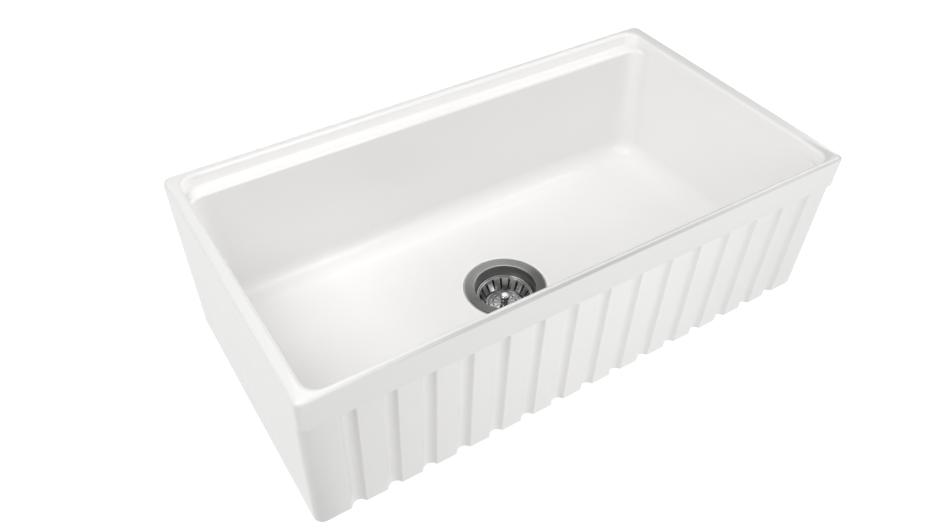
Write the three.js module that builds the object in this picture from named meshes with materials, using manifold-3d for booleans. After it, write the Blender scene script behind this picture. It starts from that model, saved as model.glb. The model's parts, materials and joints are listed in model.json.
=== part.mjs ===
// Farmhouse apron front sink in glazed fireclay, with its basket strainer drain.
// Millimetres, +Z up. The origin is the centre of the underside. The apron faces -Y.
import * as THREE from "three";
import { mergeVertices } from "three/addons/utils/BufferGeometryUtils.js";
import Module from "manifold-3d";

const wasm = await Module();
wasm.setup();

// Driving dimensions: the fireclay body
const SINK_WIDTH = 838;
const SINK_DEPTH = 457;
const SINK_HEIGHT = 254;
const FRONT_LEAN = 11; // the apron's foot stands in from its top
const BACK_LEAN = 20; // the back's foot stands in from its top
const TOP_EDGE_R = 5;
const FOOT_EDGE_R = 3;
const BAND_HEIGHT = 48; // plain band along the apron's top
const BAND_RELIEF = 2.5; // the band stands proud of the fluted panel
const BAND_CORNER_R = 9;
const PANEL_CORNER_R = 14;
const BACK_CORNER_R = 14;

// Driving dimensions: the apron's flutes
const FLUTE_COUNT = 15;
const FLUTE_PITCH = 51.6;
const FLUTE_R = 11;
const FLUTE_DEPTH = 7;
const FLUTE_EDGE_R = 2.5; // rounding of the ridge beside each flute
const FLUTE_LEAD_ANGLE = Math.PI / 12; // the ridge's rounding starts at this slope
const FLUTE_TOP_GAP = 0.5; // the flutes stop this far under the band
const FLUTE_TOP_R = 4;

// Driving dimensions: the basin
const SIDE_RIM = 19;
const FRONT_RIM = 10.5;
const BACK_RIM = 13.5;
const RIM_EDGE_R = 5;
const LEDGE_DROP = 22; // rim to ledge
const FRONT_LEDGE = 15;
const BACK_LEDGE = 20;
const LEDGE_EDGE_R = 5;
const LEDGE_ROOT_R = 4;
const LEDGE_CORNER_R = 24; // corners of the basin just under the ledges
const BASE_THICKNESS = 26; // underside to the floor beside the drain
const FLOOR_FALL = 3; // the floor falls towards the drain
const FLOOR_FILLET_R = 30;
const SIDE_DRAFT = 8; // the basin's side walls draw in by this at the floor
const WALL_DRAFT = 5; // the same for its front and back walls
const BASIN_CORNER_R = 36; // corners of the basin where the floor's rounding starts
const OPENING_CORNER_R = 22; // corners of the opening above the ledges

// Driving dimensions: the drain
const DRAIN_Y = -4;
const DRAIN_HOLE_R = 51.5;
const DRAIN_EDGE = 1.5; // chamfer on the edges of the drain hole
const RECESS_GAP = 1.8; // between the flange's edge and the recess wall
const FLOOR_FLAT = 4; // level ring of floor around the recess
const CLEARANCE = 0.3; // between pieces that touch
const SLIDING_GAP = 0.4; // between the post's clip and the hub
const EDGE_BREAK = 1; // small chamfers and roundings on turned pieces

// Driving dimensions: the strainer cup
const FLANGE_R = 64.2;
const FLANGE_PROUD = 0.8; // the flange's top above the floor
const CUP_WALL = 1.3;
const CUP_LIP_R = 1.9; // rounding where the flange turns down into the cup
const CUP_MOUTH_R = 48.2; // inner radius under the lip
const CUP_R = 45.8; // inner radius of the straight part
const CUP_TAPER_END = 20; // below the sink's floor
const CUP_BELOW = 38; // the floor of the cup hangs this far below the sink's underside
const CUP_BOWL_R = 12;
const OUTLET_R = 19.5;

// Driving dimensions: what clamps and connects the strainer
const SEAL_THICKNESS = 1.5;
const SEAL_R = 62;
const GASKET_R = 62;
const GASKET_THICKNESS = 3;
const GASKET_SEAT = 1; // depth of the ground seat in the underside, around the drain's hole
const FRICTION_RING_R = 59;
const FRICTION_RING_THICKNESS = 1.2;
const LOCKNUT_R = 55.5;
const LOCKNUT_LUG_R = 61;
const LOCKNUT_LUGS = 6;
const LOCKNUT_HEIGHT = 11;
const FERRULE_R = 23.2;
const FERRULE_FLANGE_R = 28;
const FERRULE_FLANGE = 2;
const FERRULE_LENGTH = 20;
const TAILPIECE_R = 19.05;
const TAILPIECE_WALL = 1.1;
const TAILPIECE_LENGTH = 102;
const TAILPIECE_FLANGE_R = 22.6;
const TAILPIECE_FLANGE = 1.3;
const TAIL_WASHER = 2;
const COUPLING_R = 28;
const COUPLING_RIB_R = 30;
const COUPLING_RIBS = 8;
const COUPLING_GRIP = 13; // length over the ferrule's thread
const COUPLING_LIP = 2.4;

// Driving dimensions: the guide spider over the outlet
const GUIDE_RING_R = 24.5;
const GUIDE_RING_WIDTH = 6;
const GUIDE_THICKNESS = 1.6;
const GUIDE_SPOKES = 3;
const GUIDE_SPOKE_WIDTH = 4.5;
const GUIDE_HUB_WALL = 2.6;
const GUIDE_HUB_HEIGHT = 8;

// Driving dimensions: the basket and its stopper
const BASKET_R = 45;
const BASKET_RIM_DROP = 17; // flange top to the basket's rim
const BASKET_WALL = 1.1;
const BASKET_RIM_WIDTH = 2.6;
const BASKET_RIM_HEIGHT = 2.4;
const BASKET_FOOT_R = 29.5; // inner radius where the sloping wall ends
const BASKET_DEPTH = 21.5; // rim to the groove at the foot
const BASKET_DISC_R = 26;
const BASKET_DISC_RISE = 3.4; // the middle stands above the groove
const SLOT_COUNT = 18;
const SLOT_INNER_R = 31;
const SLOT_OUTER_R = 40.5;
const SLOT_INNER_WIDTH = 2.2;
const SLOT_OUTER_WIDTH = 3.6;
const DISC_HOLES = 12;
const DISC_HOLE_R = 1.6;
const DISC_HOLE_CIRCLE_R = 18.5;
const KNOB_R = 7.5;
const KNOB_NECK_R = 5.6;
const KNOB_HEIGHT = 16.5;
const KNOB_CROWN = 4; // solid top over the post's end
const POST_R = 4;
const POST_TIP = 3; // taper at the post's lower end
const STOPPER_R = 29;
const STOPPER_HUB_R = 10;
const STOPPER_HUB_TOP = 4; // hub above the rubber disc
const STOPPER_DISC = 3;
const STOPPER_LIP = 2.5;
const STOPPER_LIFT = 6; // the stopper's rim above the cup's floor, basket up
const STOPPER_WASHER_R = 12;
const STOPPER_WASHER = 1;
const STOPPER_NUT_R = 7.2;
const STOPPER_NUT_HEIGHT = 4;
const CLIP_WALL = 1.5;
const CLIP_LENGTH = 4;
const CLIP_GROOVE = 0.9; // depth of the post's groove

// Facets
const CORNER_STEPS = 6;
const FILLET_STEPS = 5;
const EDGE_STEPS = 3;
const FLUTE_STEPS = 8;
const ROUND_STEPS = 36;
const GRIP_STEPS = 3;
const HOLE_SIDES = 6;
const GRIP_START = 0.55; // share of a grip's turn that lies on the ring
const GRIP_SLOPE = 0.08; // share of it that slopes up to the grip

const CUT_PAST = 1; // a cutter runs this far past what it cuts

// Levels that follow from the dimensions
const FLOOR_Z = BASE_THICKNESS;
const BASIN_DEPTH = SINK_HEIGHT - FLOOR_Z;
const LEDGE_Z = SINK_HEIGHT - LEDGE_DROP;
const BAND_Z = SINK_HEIGHT - BAND_HEIGHT;
const FLANGE_TOP = FLOOR_Z + FLANGE_PROUD;
const SEAL_TOP = FLANGE_TOP - CUP_WALL - CLEARANCE;
const RECESS_Z = SEAL_TOP - SEAL_THICKNESS - CLEARANCE;
const RECESS_R = FLANGE_R + RECESS_GAP;
const CUP_FLOOR = -CUP_BELOW;
const THREAD_R = CUP_R + CUP_WALL;
const BASKET_TOP = FLANGE_TOP - BASKET_RIM_DROP;
const DISC_TOP = BASKET_TOP - BASKET_DEPTH + BASKET_DISC_RISE;
const HUB_R = POST_R - CLIP_GROOVE + CLEARANCE + CLIP_WALL + SLIDING_GAP;
const HUB_TOP = CUP_FLOOR + CLEARANCE + GUIDE_HUB_HEIGHT;
const GASKET_TOP = GASKET_SEAT - CLEARANCE;
const FRICTION_RING_TOP = GASKET_TOP - GASKET_THICKNESS - CLEARANCE;
const LOCKNUT_TOP = FRICTION_RING_TOP - FRICTION_RING_THICKNESS - CLEARANCE;
const FERRULE_TOP = CUP_FLOOR - CUP_WALL - CLEARANCE;
const TAIL_WASHER_TOP = FERRULE_TOP - FERRULE_LENGTH - CLEARANCE;
const TAILPIECE_TOP = TAIL_WASHER_TOP - TAIL_WASHER - CLEARANCE;
const STOPPER_WASHER_TOP = DISC_TOP - BASKET_WALL - CLEARANCE;
const STOPPER_TOP = STOPPER_WASHER_TOP - STOPPER_WASHER - CLEARANCE;
const STOPPER_BOTTOM = CUP_FLOOR + CLEARANCE + STOPPER_LIFT;
const CLIP_BOTTOM = HUB_TOP - CLIP_LENGTH - CLEARANCE;
const POST_BOTTOM = CLIP_BOTTOM - POST_TIP - CLIP_LENGTH;

// Colours and finishes
const glaze = new THREE.MeshStandardMaterial({ color: 0xf3f1ec, roughness: 0.22, metalness: 0 });
const brushedSteel = new THREE.MeshStandardMaterial({ color: 0x8d8c89, roughness: 0.38, metalness: 1 });
const polishedSteel = new THREE.MeshStandardMaterial({ color: 0xb9b9b7, roughness: 0.2, metalness: 1 });
const plainSteel = new THREE.MeshStandardMaterial({ color: 0xa3a3a0, roughness: 0.3, metalness: 1 });
const castZinc = new THREE.MeshStandardMaterial({ color: 0x9fa09e, roughness: 0.5, metalness: 1 });
const rubber = new THREE.MeshStandardMaterial({ color: 0x1b1b1c, roughness: 0.75, metalness: 0 });
const fibre = new THREE.MeshStandardMaterial({ color: 0x9a7f5c, roughness: 0.9, metalness: 0 });
const brass = new THREE.MeshStandardMaterial({ color: 0xb08d4a, roughness: 0.35, metalness: 1 });
const whitePlastic = new THREE.MeshStandardMaterial({ color: 0xe4e4e0, roughness: 0.5, metalness: 0 });

// Turns a geometry into a solid: shared corners merged, faces that closed up at an axis dropped.
function solidOf(geometry) {
  const bare = geometry.clone();
  bare.deleteAttribute("normal");
  bare.deleteAttribute("uv");
  const merged = mergeVertices(bare);
  const corners = merged.index.array;
  const kept = [];
  for (let i = 0; i < corners.length; i += 3) {
    const [a, b, c] = corners.slice(i, i + 3);
    if (a !== b && b !== c && c !== a) kept.push(a, b, c);
  }
  const vertProperties = merged.attributes.position.array;
  return new wasm.Manifold(new wasm.Mesh({ numProp: 3, vertProperties, triVerts: new Uint32Array(kept) }));
}

function geometryOf(solid) {
  const { vertProperties, triVerts } = solid.getMesh();
  const geometry = new THREE.BufferGeometry();
  geometry.setAttribute("position", new THREE.BufferAttribute(vertProperties, 3));
  geometry.setIndex(new THREE.BufferAttribute(triVerts, 1));
  geometry.computeVertexNormals();
  return geometry;
}

function piece(name, solid, material) {
  const mesh = new THREE.Mesh(geometryOf(solid), material);
  mesh.name = name;
  return mesh;
}

// A closed skin through outlines with equally many points, from the lowest level to the highest.
function loft(levels) {
  const count = levels[0].outline.length;
  const top = (levels.length - 1) * count;
  const positions = levels.flatMap(({ outline, z }) => outline.flatMap((p) => [p.x, p.y, z]));
  const index = [];
  for (let base = 0; base < top; base += count) {
    for (let i = 0; i < count; i++) {
      const a = base + i;
      const b = base + ((i + 1) % count);
      index.push(a, b, b + count, a, b + count, a + count);
    }
  }
  const lowest = THREE.ShapeUtils.triangulateShape(levels[0].outline, []);
  const highest = THREE.ShapeUtils.triangulateShape(levels.at(-1).outline, []);
  lowest.forEach(([a, b, c]) => index.push(a, c, b));
  highest.forEach(([a, b, c]) => index.push(top + a, top + b, top + c));
  const geometry = new THREE.BufferGeometry();
  geometry.setAttribute("position", new THREE.Float32BufferAttribute(positions, 3));
  geometry.setIndex(index);
  return solidOf(geometry);
}

// Points along a round stretch of an outline, clockwise where the second angle is the smaller.
function arc(x, y, radius, from, to, steps) {
  return new THREE.EllipseCurve(x, y, radius, radius, from, to, to < from).getPoints(steps);
}

// A solid of revolution about +Z. The profile's points are radius and level, counter-clockwise.
function turned(profile, y = 0) {
  const points = profile.map((p) => (Array.isArray(p) ? new THREE.Vector2(...p) : p));
  points.push(points[0].clone());
  const geometry = new THREE.LatheGeometry(points, ROUND_STEPS);
  return solidOf(geometry.rotateX(Math.PI / 2).translate(0, y, 0));
}

function washer(innerR, outerR, bottom, top) {
  return turned([
    [innerR, bottom],
    [outerR, bottom],
    [outerR, top],
    [innerR, top],
  ]);
}

function plug(radius, bottom, top) {
  return turned([
    [0, bottom],
    [radius, bottom],
    [radius, top],
    [0, top],
  ]);
}

// An outline standing on a level and raised to a height.
function raised(outline, bottom, height) {
  const options = { depth: height, bevelEnabled: false };
  return solidOf(new THREE.ExtrudeGeometry(new THREE.Shape(outline), options).translate(0, 0, bottom));
}

// The angles of a quarter round in equal steps.
function quarter(steps) {
  return Array.from({ length: steps + 1 }, (_, i) => (i / steps) * (Math.PI / 2));
}

// A rectangle with rounded corners, counter-clockwise from above.
function roundedOutline({ side, front, back }, frontR, backR = frontR) {
  return [
    ...arc(side - frontR, front + frontR, frontR, -Math.PI / 2, 0, CORNER_STEPS),
    ...arc(side - backR, back - backR, backR, 0, Math.PI / 2, CORNER_STEPS),
    ...arc(backR - side, back - backR, backR, Math.PI / 2, Math.PI, CORNER_STEPS),
    ...arc(frontR - side, front + frontR, frontR, Math.PI, 1.5 * Math.PI, CORNER_STEPS),
  ];
}

// The apron's and the back's leaning faces at one height.
function apronY(z) {
  return -SINK_DEPTH / 2 + (FRONT_LEAN * (SINK_HEIGHT - z)) / SINK_HEIGHT;
}

function backY(z) {
  return SINK_DEPTH / 2 - (BACK_LEAN * (SINK_HEIGHT - z)) / SINK_HEIGHT;
}

function bodyLevel(z, inset, relief, cornerR) {
  const box = {
    side: SINK_WIDTH / 2 - inset,
    front: apronY(z) + relief + inset,
    back: backY(z) - inset,
  };
  return { z, outline: roundedOutline(box, cornerR - inset, BACK_CORNER_R - inset) };
}

// The outer block: rounded foot, the fluted panel's plane, the step out to the band, rounded top.
function bodyBlock() {
  const foot = quarter(EDGE_STEPS).map((a) => {
    const z = FOOT_EDGE_R * (1 - Math.cos(a));
    return bodyLevel(z, FOOT_EDGE_R * (1 - Math.sin(a)), BAND_RELIEF, PANEL_CORNER_R);
  });
  const step = quarter(EDGE_STEPS).map((a) => {
    const share = 1 - Math.sin(a);
    const cornerR = BAND_CORNER_R + (PANEL_CORNER_R - BAND_CORNER_R) * share;
    return bodyLevel(BAND_Z - BAND_RELIEF * Math.cos(a), 0, BAND_RELIEF * share, cornerR);
  });
  const top = quarter(EDGE_STEPS).map((a) => {
    const z = SINK_HEIGHT - TOP_EDGE_R * (1 - Math.sin(a));
    return bodyLevel(z, TOP_EDGE_R * (1 - Math.cos(a)), 0, BAND_CORNER_R);
  });
  return loft([...foot, ...step, ...top]);
}

// The hollow's half width at one height: the side walls run straight from the rim to the floor.
function basinSide(z) {
  return SINK_WIDTH / 2 - SIDE_RIM - (SIDE_DRAFT * (SINK_HEIGHT - z)) / BASIN_DEPTH;
}

// The hollow's plan above the ledges, and below them.
function openingBox(z, out) {
  return {
    side: basinSide(z) + out,
    front: -SINK_DEPTH / 2 + FRONT_RIM - out,
    back: SINK_DEPTH / 2 - BACK_RIM + out,
  };
}

function basinBox(z) {
  const draft = (WALL_DRAFT * (LEDGE_Z - z)) / (LEDGE_Z - FLOOR_Z);
  return {
    side: basinSide(z),
    front: -SINK_DEPTH / 2 + FRONT_RIM + FRONT_LEDGE + draft,
    back: SINK_DEPTH / 2 - BACK_RIM - BACK_LEDGE - draft,
  };
}

function drawnIn({ side, front, back }, by) {
  return { side: side - by, front: front + by, back: back - by };
}

// The basin's outline widened by a rounding at the ledges, and cut off at the side walls.
function noseOutline(z, out) {
  const { side, front, back } = drawnIn(basinBox(z), LEDGE_CORNER_R);
  const radius = LEDGE_CORNER_R + out;
  const wall = Math.acos(LEDGE_CORNER_R / radius);
  return [
    ...arc(side, front, radius, -Math.PI / 2, -wall, CORNER_STEPS),
    ...arc(side, back, radius, wall, Math.PI / 2, CORNER_STEPS),
    ...arc(-side, back, radius, Math.PI / 2, Math.PI - wall, CORNER_STEPS),
    ...arc(-side, front, radius, Math.PI + wall, 1.5 * Math.PI, CORNER_STEPS),
  ];
}

// The floor's middle: each point of an outline drawn in to a ring around the drain.
function drainRing(outline) {
  const centre = new THREE.Vector2(0, DRAIN_Y);
  return outline.map((p) => p.clone().sub(centre).setLength(RECESS_R + FLOOR_FLAT).add(centre));
}

// The hollow of the basin: floor, fillet, wall, ledge with rounded nose and root, wall, rim.
function basinHollow() {
  const fillet = quarter(FILLET_STEPS).map((a) => {
    const z = FLOOR_Z + FLOOR_FALL + FLOOR_FILLET_R * (1 - Math.cos(a));
    const by = FLOOR_FILLET_R * (1 - Math.sin(a));
    return { z, outline: roundedOutline(drawnIn(basinBox(z), by), BASIN_CORNER_R - by) };
  });
  const nose = quarter(EDGE_STEPS).map((a) => {
    const z = LEDGE_Z - LEDGE_EDGE_R * (1 - Math.sin(a));
    return { z, outline: noseOutline(z, LEDGE_EDGE_R * (1 - Math.cos(a))) };
  });
  const root = quarter(EDGE_STEPS).map((a) => {
    const z = LEDGE_Z + LEDGE_ROOT_R * (1 - Math.cos(a));
    const by = LEDGE_ROOT_R * (1 - Math.sin(a));
    const box = openingBox(z, 0);
    box.front += by;
    box.back -= by;
    return { z, outline: roundedOutline(box, OPENING_CORNER_R - by) };
  });
  const rim = quarter(EDGE_STEPS).map((a) => {
    const z = SINK_HEIGHT - RIM_EDGE_R * (1 - Math.sin(a));
    return { z, outline: roundedOutline(openingBox(z, RIM_EDGE_R * (1 - Math.cos(a))), OPENING_CORNER_R) };
  });
  const middle = { z: FLOOR_Z, outline: drainRing(fillet[0].outline) };
  const above = { z: SINK_HEIGHT + CUT_PAST, outline: rim.at(-1).outline };
  return loft([middle, ...fillet, ...nose, ...root, ...rim, above]);
}

// The drain's hole through the base, the flange's recess in the floor and the gasket's seat in the
// underside.
function drainHollow() {
  const wide = DRAIN_HOLE_R + DRAIN_EDGE;
  const mouth = RECESS_R + DRAIN_EDGE / 2;
  const seatR = GASKET_R + RECESS_GAP;
  const above = FLOOR_Z + FLOOR_FALL;
  return turned(
    [
      [0, -CUT_PAST],
      [seatR, -CUT_PAST],
      [seatR, GASKET_SEAT],
      [wide, GASKET_SEAT],
      [DRAIN_HOLE_R, GASKET_SEAT + DRAIN_EDGE],
      [DRAIN_HOLE_R, RECESS_Z - DRAIN_EDGE],
      [wide, RECESS_Z],
      [RECESS_R, RECESS_Z],
      [RECESS_R, FLOOR_Z - DRAIN_EDGE / 2],
      [mouth, FLOOR_Z],
      [mouth, above],
      [0, above],
    ],
    DRAIN_Y,
  );
}

// A flute's section, with x along the apron and y into it from the panel's face: a round bottom
// that meets the face through a rounding on each side, and a lead out past the face.
function fluteSection() {
  const axisOut = FLUTE_R - FLUTE_DEPTH;
  const reach = FLUTE_R + FLUTE_EDGE_R;
  const edgeX = Math.sqrt(reach ** 2 - (FLUTE_EDGE_R + axisOut) ** 2);
  const meet = Math.acos(edgeX / reach);
  const lead = FLUTE_LEAD_ANGLE;
  const leadX = edgeX + FLUTE_EDGE_R * (Math.cos(lead) - Math.sin(lead));
  const leadY = FLUTE_EDGE_R * (1 - Math.cos(lead) - Math.sin(lead));
  const near = arc(edgeX, FLUTE_EDGE_R, FLUTE_EDGE_R, -Math.PI / 2 - lead, meet - Math.PI, EDGE_STEPS - 1);
  const bottom = arc(0, -axisOut, FLUTE_R, meet, Math.PI - meet, FLUTE_STEPS);
  const far = arc(-edgeX, FLUTE_EDGE_R, FLUTE_EDGE_R, -meet, lead - Math.PI / 2, EDGE_STEPS - 1);
  return [
    new THREE.Vector2(leadX, -FLUTE_DEPTH),
    new THREE.Vector2(leadX, leadY),
    ...near.slice(0, -1),
    ...bottom,
    ...far.slice(1),
    new THREE.Vector2(-leadX, leadY),
    new THREE.Vector2(-leadX, -FLUTE_DEPTH),
  ];
}

// One flute: the section follows the leaning panel and closes in a rounded top under the band.
function fluteHollow(x) {
  const section = fluteSection();
  const level = (z, share) => {
    const faceY = apronY(z) + BAND_RELIEF;
    return { z, outline: section.map((p) => new THREE.Vector2(x + p.x * share, faceY + p.y * share)) };
  };
  const top = BAND_Z - BAND_RELIEF - FLUTE_TOP_GAP;
  const close = quarter(EDGE_STEPS).map((a) =>
    level(top - FLUTE_TOP_R * (1 - Math.sin(a)), 1 - (FLUTE_TOP_R / FLUTE_R) * (1 - Math.cos(a))),
  );
  return loft([level(-CUT_PAST, 1), ...close]);
}

function sinkBody() {
  const firstX = (-FLUTE_PITCH * (FLUTE_COUNT - 1)) / 2;
  let body = bodyBlock().subtract(basinHollow()).subtract(drainHollow());
  for (let i = 0; i < FLUTE_COUNT; i++) {
    body = body.subtract(fluteHollow(firstX + i * FLUTE_PITCH));
  }
  return piece("sink_body", body, glaze);
}

// The pressed flange and cup: one sheet, so the outside follows the inside a wall away.
function strainerCup() {
  const straightTop = FLOOR_Z - CUP_TAPER_END;
  const bowlZ = CUP_FLOOR + CUP_BOWL_R;
  const lipZ = FLANGE_TOP - CUP_LIP_R;
  const under = FLANGE_TOP - CUP_WALL;
  const side = (wall) => [
    new THREE.Vector2(CUP_R + wall, straightTop),
    ...arc(CUP_R - CUP_BOWL_R, bowlZ, CUP_BOWL_R + wall, 0, -Math.PI / 2, EDGE_STEPS + 1),
  ];
  const profile = [
    [OUTLET_R, CUP_FLOOR - CUP_WALL],
    ...side(CUP_WALL).reverse(),
    [CUP_MOUTH_R + CUP_WALL, lipZ - CUP_WALL],
    [CUP_MOUTH_R + CUP_LIP_R, under],
    [FLANGE_R - CUP_WALL / 2, under],
    [FLANGE_R, under + CUP_WALL / 3],
    [FLANGE_R - CUP_WALL, FLANGE_TOP],
    ...arc(CUP_MOUTH_R + CUP_LIP_R, lipZ, CUP_LIP_R, Math.PI / 2, Math.PI, EDGE_STEPS),
    ...side(0),
    [OUTLET_R, CUP_FLOOR],
  ];
  return piece("strainer_cup", turned(profile), brushedSteel);
}

function flangeSeal() {
  const innerR = DRAIN_HOLE_R + DRAIN_EDGE;
  return piece("flange_seal", washer(innerR, SEAL_R, SEAL_TOP - SEAL_THICKNESS, SEAL_TOP), rubber);
}

function baseGasket() {
  const bottom = GASKET_TOP - GASKET_THICKNESS;
  return piece("base_gasket", washer(THREAD_R + CLEARANCE, GASKET_R, bottom, GASKET_TOP), rubber);
}

function frictionRing() {
  const bottom = FRICTION_RING_TOP - FRICTION_RING_THICKNESS;
  const ring = washer(THREAD_R + CLEARANCE, FRICTION_RING_R, bottom, FRICTION_RING_TOP);
  return piece("friction_ring", ring, fibre);
}

// A round outline with evenly spaced grips that stand out from it.
function grippedOutline(innerR, gripR, count) {
  const turn = (2 * Math.PI) / count;
  return Array.from({ length: count }, (_, i) => [
    ...arc(0, 0, innerR, i * turn, (i + GRIP_START) * turn, GRIP_STEPS),
    ...arc(0, 0, gripR, (i + GRIP_START + GRIP_SLOPE) * turn, (i + 1 - GRIP_SLOPE) * turn, GRIP_STEPS),
  ]).flat();
}

function locknut() {
  const bottom = LOCKNUT_TOP - LOCKNUT_HEIGHT;
  const ring = raised(grippedOutline(LOCKNUT_R, LOCKNUT_LUG_R, LOCKNUT_LUGS), bottom, LOCKNUT_HEIGHT);
  const bore = plug(THREAD_R + CLEARANCE, bottom - CUT_PAST, LOCKNUT_TOP + CUT_PAST);
  return piece("locknut", ring.subtract(bore), castZinc);
}

// The threaded outlet under the cup: a flange against the cup's floor and a short pipe.
function outletFerrule() {
  const end = FERRULE_TOP - FERRULE_LENGTH;
  const profile = [
    [OUTLET_R, end],
    [FERRULE_R - FERRULE_FLANGE / 2, end],
    [FERRULE_R, end + FERRULE_FLANGE / 2],
    [FERRULE_R, FERRULE_TOP - FERRULE_FLANGE],
    [FERRULE_FLANGE_R, FERRULE_TOP - FERRULE_FLANGE],
    [FERRULE_FLANGE_R, FERRULE_TOP],
    [OUTLET_R, FERRULE_TOP],
  ];
  return piece("outlet_ferrule", turned(profile), brass);
}

function tailpieceWasher() {
  const innerR = TAILPIECE_R - TAILPIECE_WALL;
  const ring = washer(innerR, TAILPIECE_FLANGE_R, TAIL_WASHER_TOP - TAIL_WASHER, TAIL_WASHER_TOP);
  return piece("tailpiece_washer", ring, whitePlastic);
}

function tailpiece() {
  const end = TAILPIECE_TOP - TAILPIECE_LENGTH;
  const innerR = TAILPIECE_R - TAILPIECE_WALL;
  const profile = [
    [innerR, end],
    [TAILPIECE_R, end],
    [TAILPIECE_R, TAILPIECE_TOP - TAILPIECE_FLANGE],
    [TAILPIECE_FLANGE_R, TAILPIECE_TOP - TAILPIECE_FLANGE],
    [TAILPIECE_FLANGE_R, TAILPIECE_TOP],
    [innerR, TAILPIECE_TOP],
  ];
  return piece("tailpiece", turned(profile), brushedSteel);
}

// The nut grips the ferrule's thread above and holds the tailpiece's flange on its lip below.
function couplingNut() {
  const top = FERRULE_TOP - FERRULE_LENGTH + COUPLING_GRIP;
  const lipTop = TAILPIECE_TOP - TAILPIECE_FLANGE - CLEARANCE;
  const bottom = lipTop - COUPLING_LIP;
  const blank = raised(grippedOutline(COUPLING_R, COUPLING_RIB_R, COUPLING_RIBS), bottom, top - bottom);
  const bore = plug(FERRULE_R + CLEARANCE, lipTop, top + CUT_PAST);
  const neck = plug(TAILPIECE_R + CLEARANCE, bottom - CUT_PAST, lipTop + CUT_PAST);
  return piece("coupling_nut", blank.subtract(bore).subtract(neck), castZinc);
}

// The spider on the cup's floor: a ring, spokes over the outlet and a hub for the post.
function postGuide() {
  const bottom = CUP_FLOOR + CLEARANCE;
  const top = bottom + GUIDE_THICKNESS;
  const middleR = GUIDE_RING_R - GUIDE_RING_WIDTH / 2;
  let spider = washer(GUIDE_RING_R - GUIDE_RING_WIDTH, GUIDE_RING_R, bottom, top);
  spider = spider.add(plug(HUB_R + GUIDE_HUB_WALL, bottom, HUB_TOP));
  for (let i = 0; i < GUIDE_SPOKES; i++) {
    const spoke = new THREE.BoxGeometry(middleR, GUIDE_SPOKE_WIDTH, GUIDE_THICKNESS);
    spoke.translate(middleR / 2, 0, (bottom + top) / 2).rotateZ((i * 2 * Math.PI) / GUIDE_SPOKES);
    spider = spider.add(solidOf(spoke));
  }
  const bore = plug(HUB_R, bottom - CUT_PAST, HUB_TOP + CUT_PAST);
  return piece("post_guide", spider.subtract(bore), plainSteel);
}

// The basket: rolled rim, sloping wall, groove at its foot and a raised middle, all one sheet.
function basketShell() {
  const rimBottom = BASKET_TOP - BASKET_RIM_HEIGHT;
  const rimR = BASKET_R - BASKET_RIM_WIDTH / 2;
  const grooveZ = BASKET_TOP - BASKET_DEPTH;
  const inside = [
    ...arc(rimR, BASKET_TOP - BASKET_RIM_WIDTH / 2, BASKET_RIM_WIDTH / 2, 0, Math.PI, FILLET_STEPS),
    [BASKET_R - BASKET_RIM_WIDTH, rimBottom],
    [BASKET_FOOT_R, grooveZ],
    [BASKET_DISC_R + BASKET_WALL, grooveZ],
    [BASKET_DISC_R, DISC_TOP - BASKET_WALL / 2],
    [BASKET_DISC_R - BASKET_WALL / 2, DISC_TOP],
    [POST_R + CLEARANCE, DISC_TOP],
  ];
  const under = [
    [POST_R + CLEARANCE, DISC_TOP - BASKET_WALL],
    [BASKET_DISC_R - BASKET_WALL, DISC_TOP - BASKET_WALL],
    [BASKET_DISC_R, grooveZ - BASKET_WALL],
    [BASKET_FOOT_R + BASKET_WALL / 2, grooveZ - BASKET_WALL],
    [BASKET_R - BASKET_RIM_WIDTH + BASKET_WALL, rimBottom - BASKET_WALL / 2],
    [BASKET_R, rimBottom],
  ];
  return turned([...under, ...inside]);
}

// One slot's cutter: a plate on edge, narrower towards the middle.
function slotHollow(angle) {
  const outline = [
    new THREE.Vector2(SLOT_INNER_R, -SLOT_INNER_WIDTH / 2),
    new THREE.Vector2(SLOT_OUTER_R, -SLOT_OUTER_WIDTH / 2),
    new THREE.Vector2(SLOT_OUTER_R, SLOT_OUTER_WIDTH / 2),
    new THREE.Vector2(SLOT_INNER_R, SLOT_INNER_WIDTH / 2),
  ].map((p) => p.rotateAround(new THREE.Vector2(), angle));
  return raised(outline, BASKET_TOP - BASKET_DEPTH - BASKET_RIM_HEIGHT, BASKET_DEPTH + BASKET_RIM_HEIGHT);
}

function discHoleHollow(angle) {
  const hole = new THREE.CylinderGeometry(DISC_HOLE_R, DISC_HOLE_R, 4 * BASKET_WALL, HOLE_SIDES);
  hole.rotateX(Math.PI / 2).translate(DISC_HOLE_CIRCLE_R, 0, DISC_TOP).rotateZ(angle);
  return solidOf(hole);
}

function basketCup() {
  let basket = basketShell();
  for (let i = 0; i < SLOT_COUNT; i++) {
    basket = basket.subtract(slotHollow((i * 2 * Math.PI) / SLOT_COUNT));
  }
  for (let i = 0; i < DISC_HOLES; i++) {
    basket = basket.subtract(discHoleHollow((i * 2 * Math.PI) / DISC_HOLES));
  }
  return piece("basket_cup", basket, polishedSteel);
}

// The knob stands on the basket's middle and is blind over the post's end.
function basketKnob() {
  const bottom = DISC_TOP + CLEARANCE;
  const top = bottom + KNOB_HEIGHT;
  const boreTop = top - KNOB_CROWN;
  const shoulder = KNOB_HEIGHT / 3;
  const profile = [
    [POST_R + CLEARANCE, bottom],
    [KNOB_NECK_R + EDGE_BREAK, bottom],
    [KNOB_NECK_R, bottom + EDGE_BREAK],
    [KNOB_NECK_R, bottom + shoulder],
    [KNOB_R, bottom + 2 * shoulder],
    [KNOB_R, top - KNOB_CROWN / 2],
    [KNOB_R - KNOB_CROWN / 4, top - KNOB_CROWN / 8],
    [KNOB_R - KNOB_CROWN / 2, top],
    [0, top],
    [0, boreTop],
    [POST_R + CLEARANCE, boreTop],
  ];
  return piece("basket_knob", turned(profile), polishedSteel);
}

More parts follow.
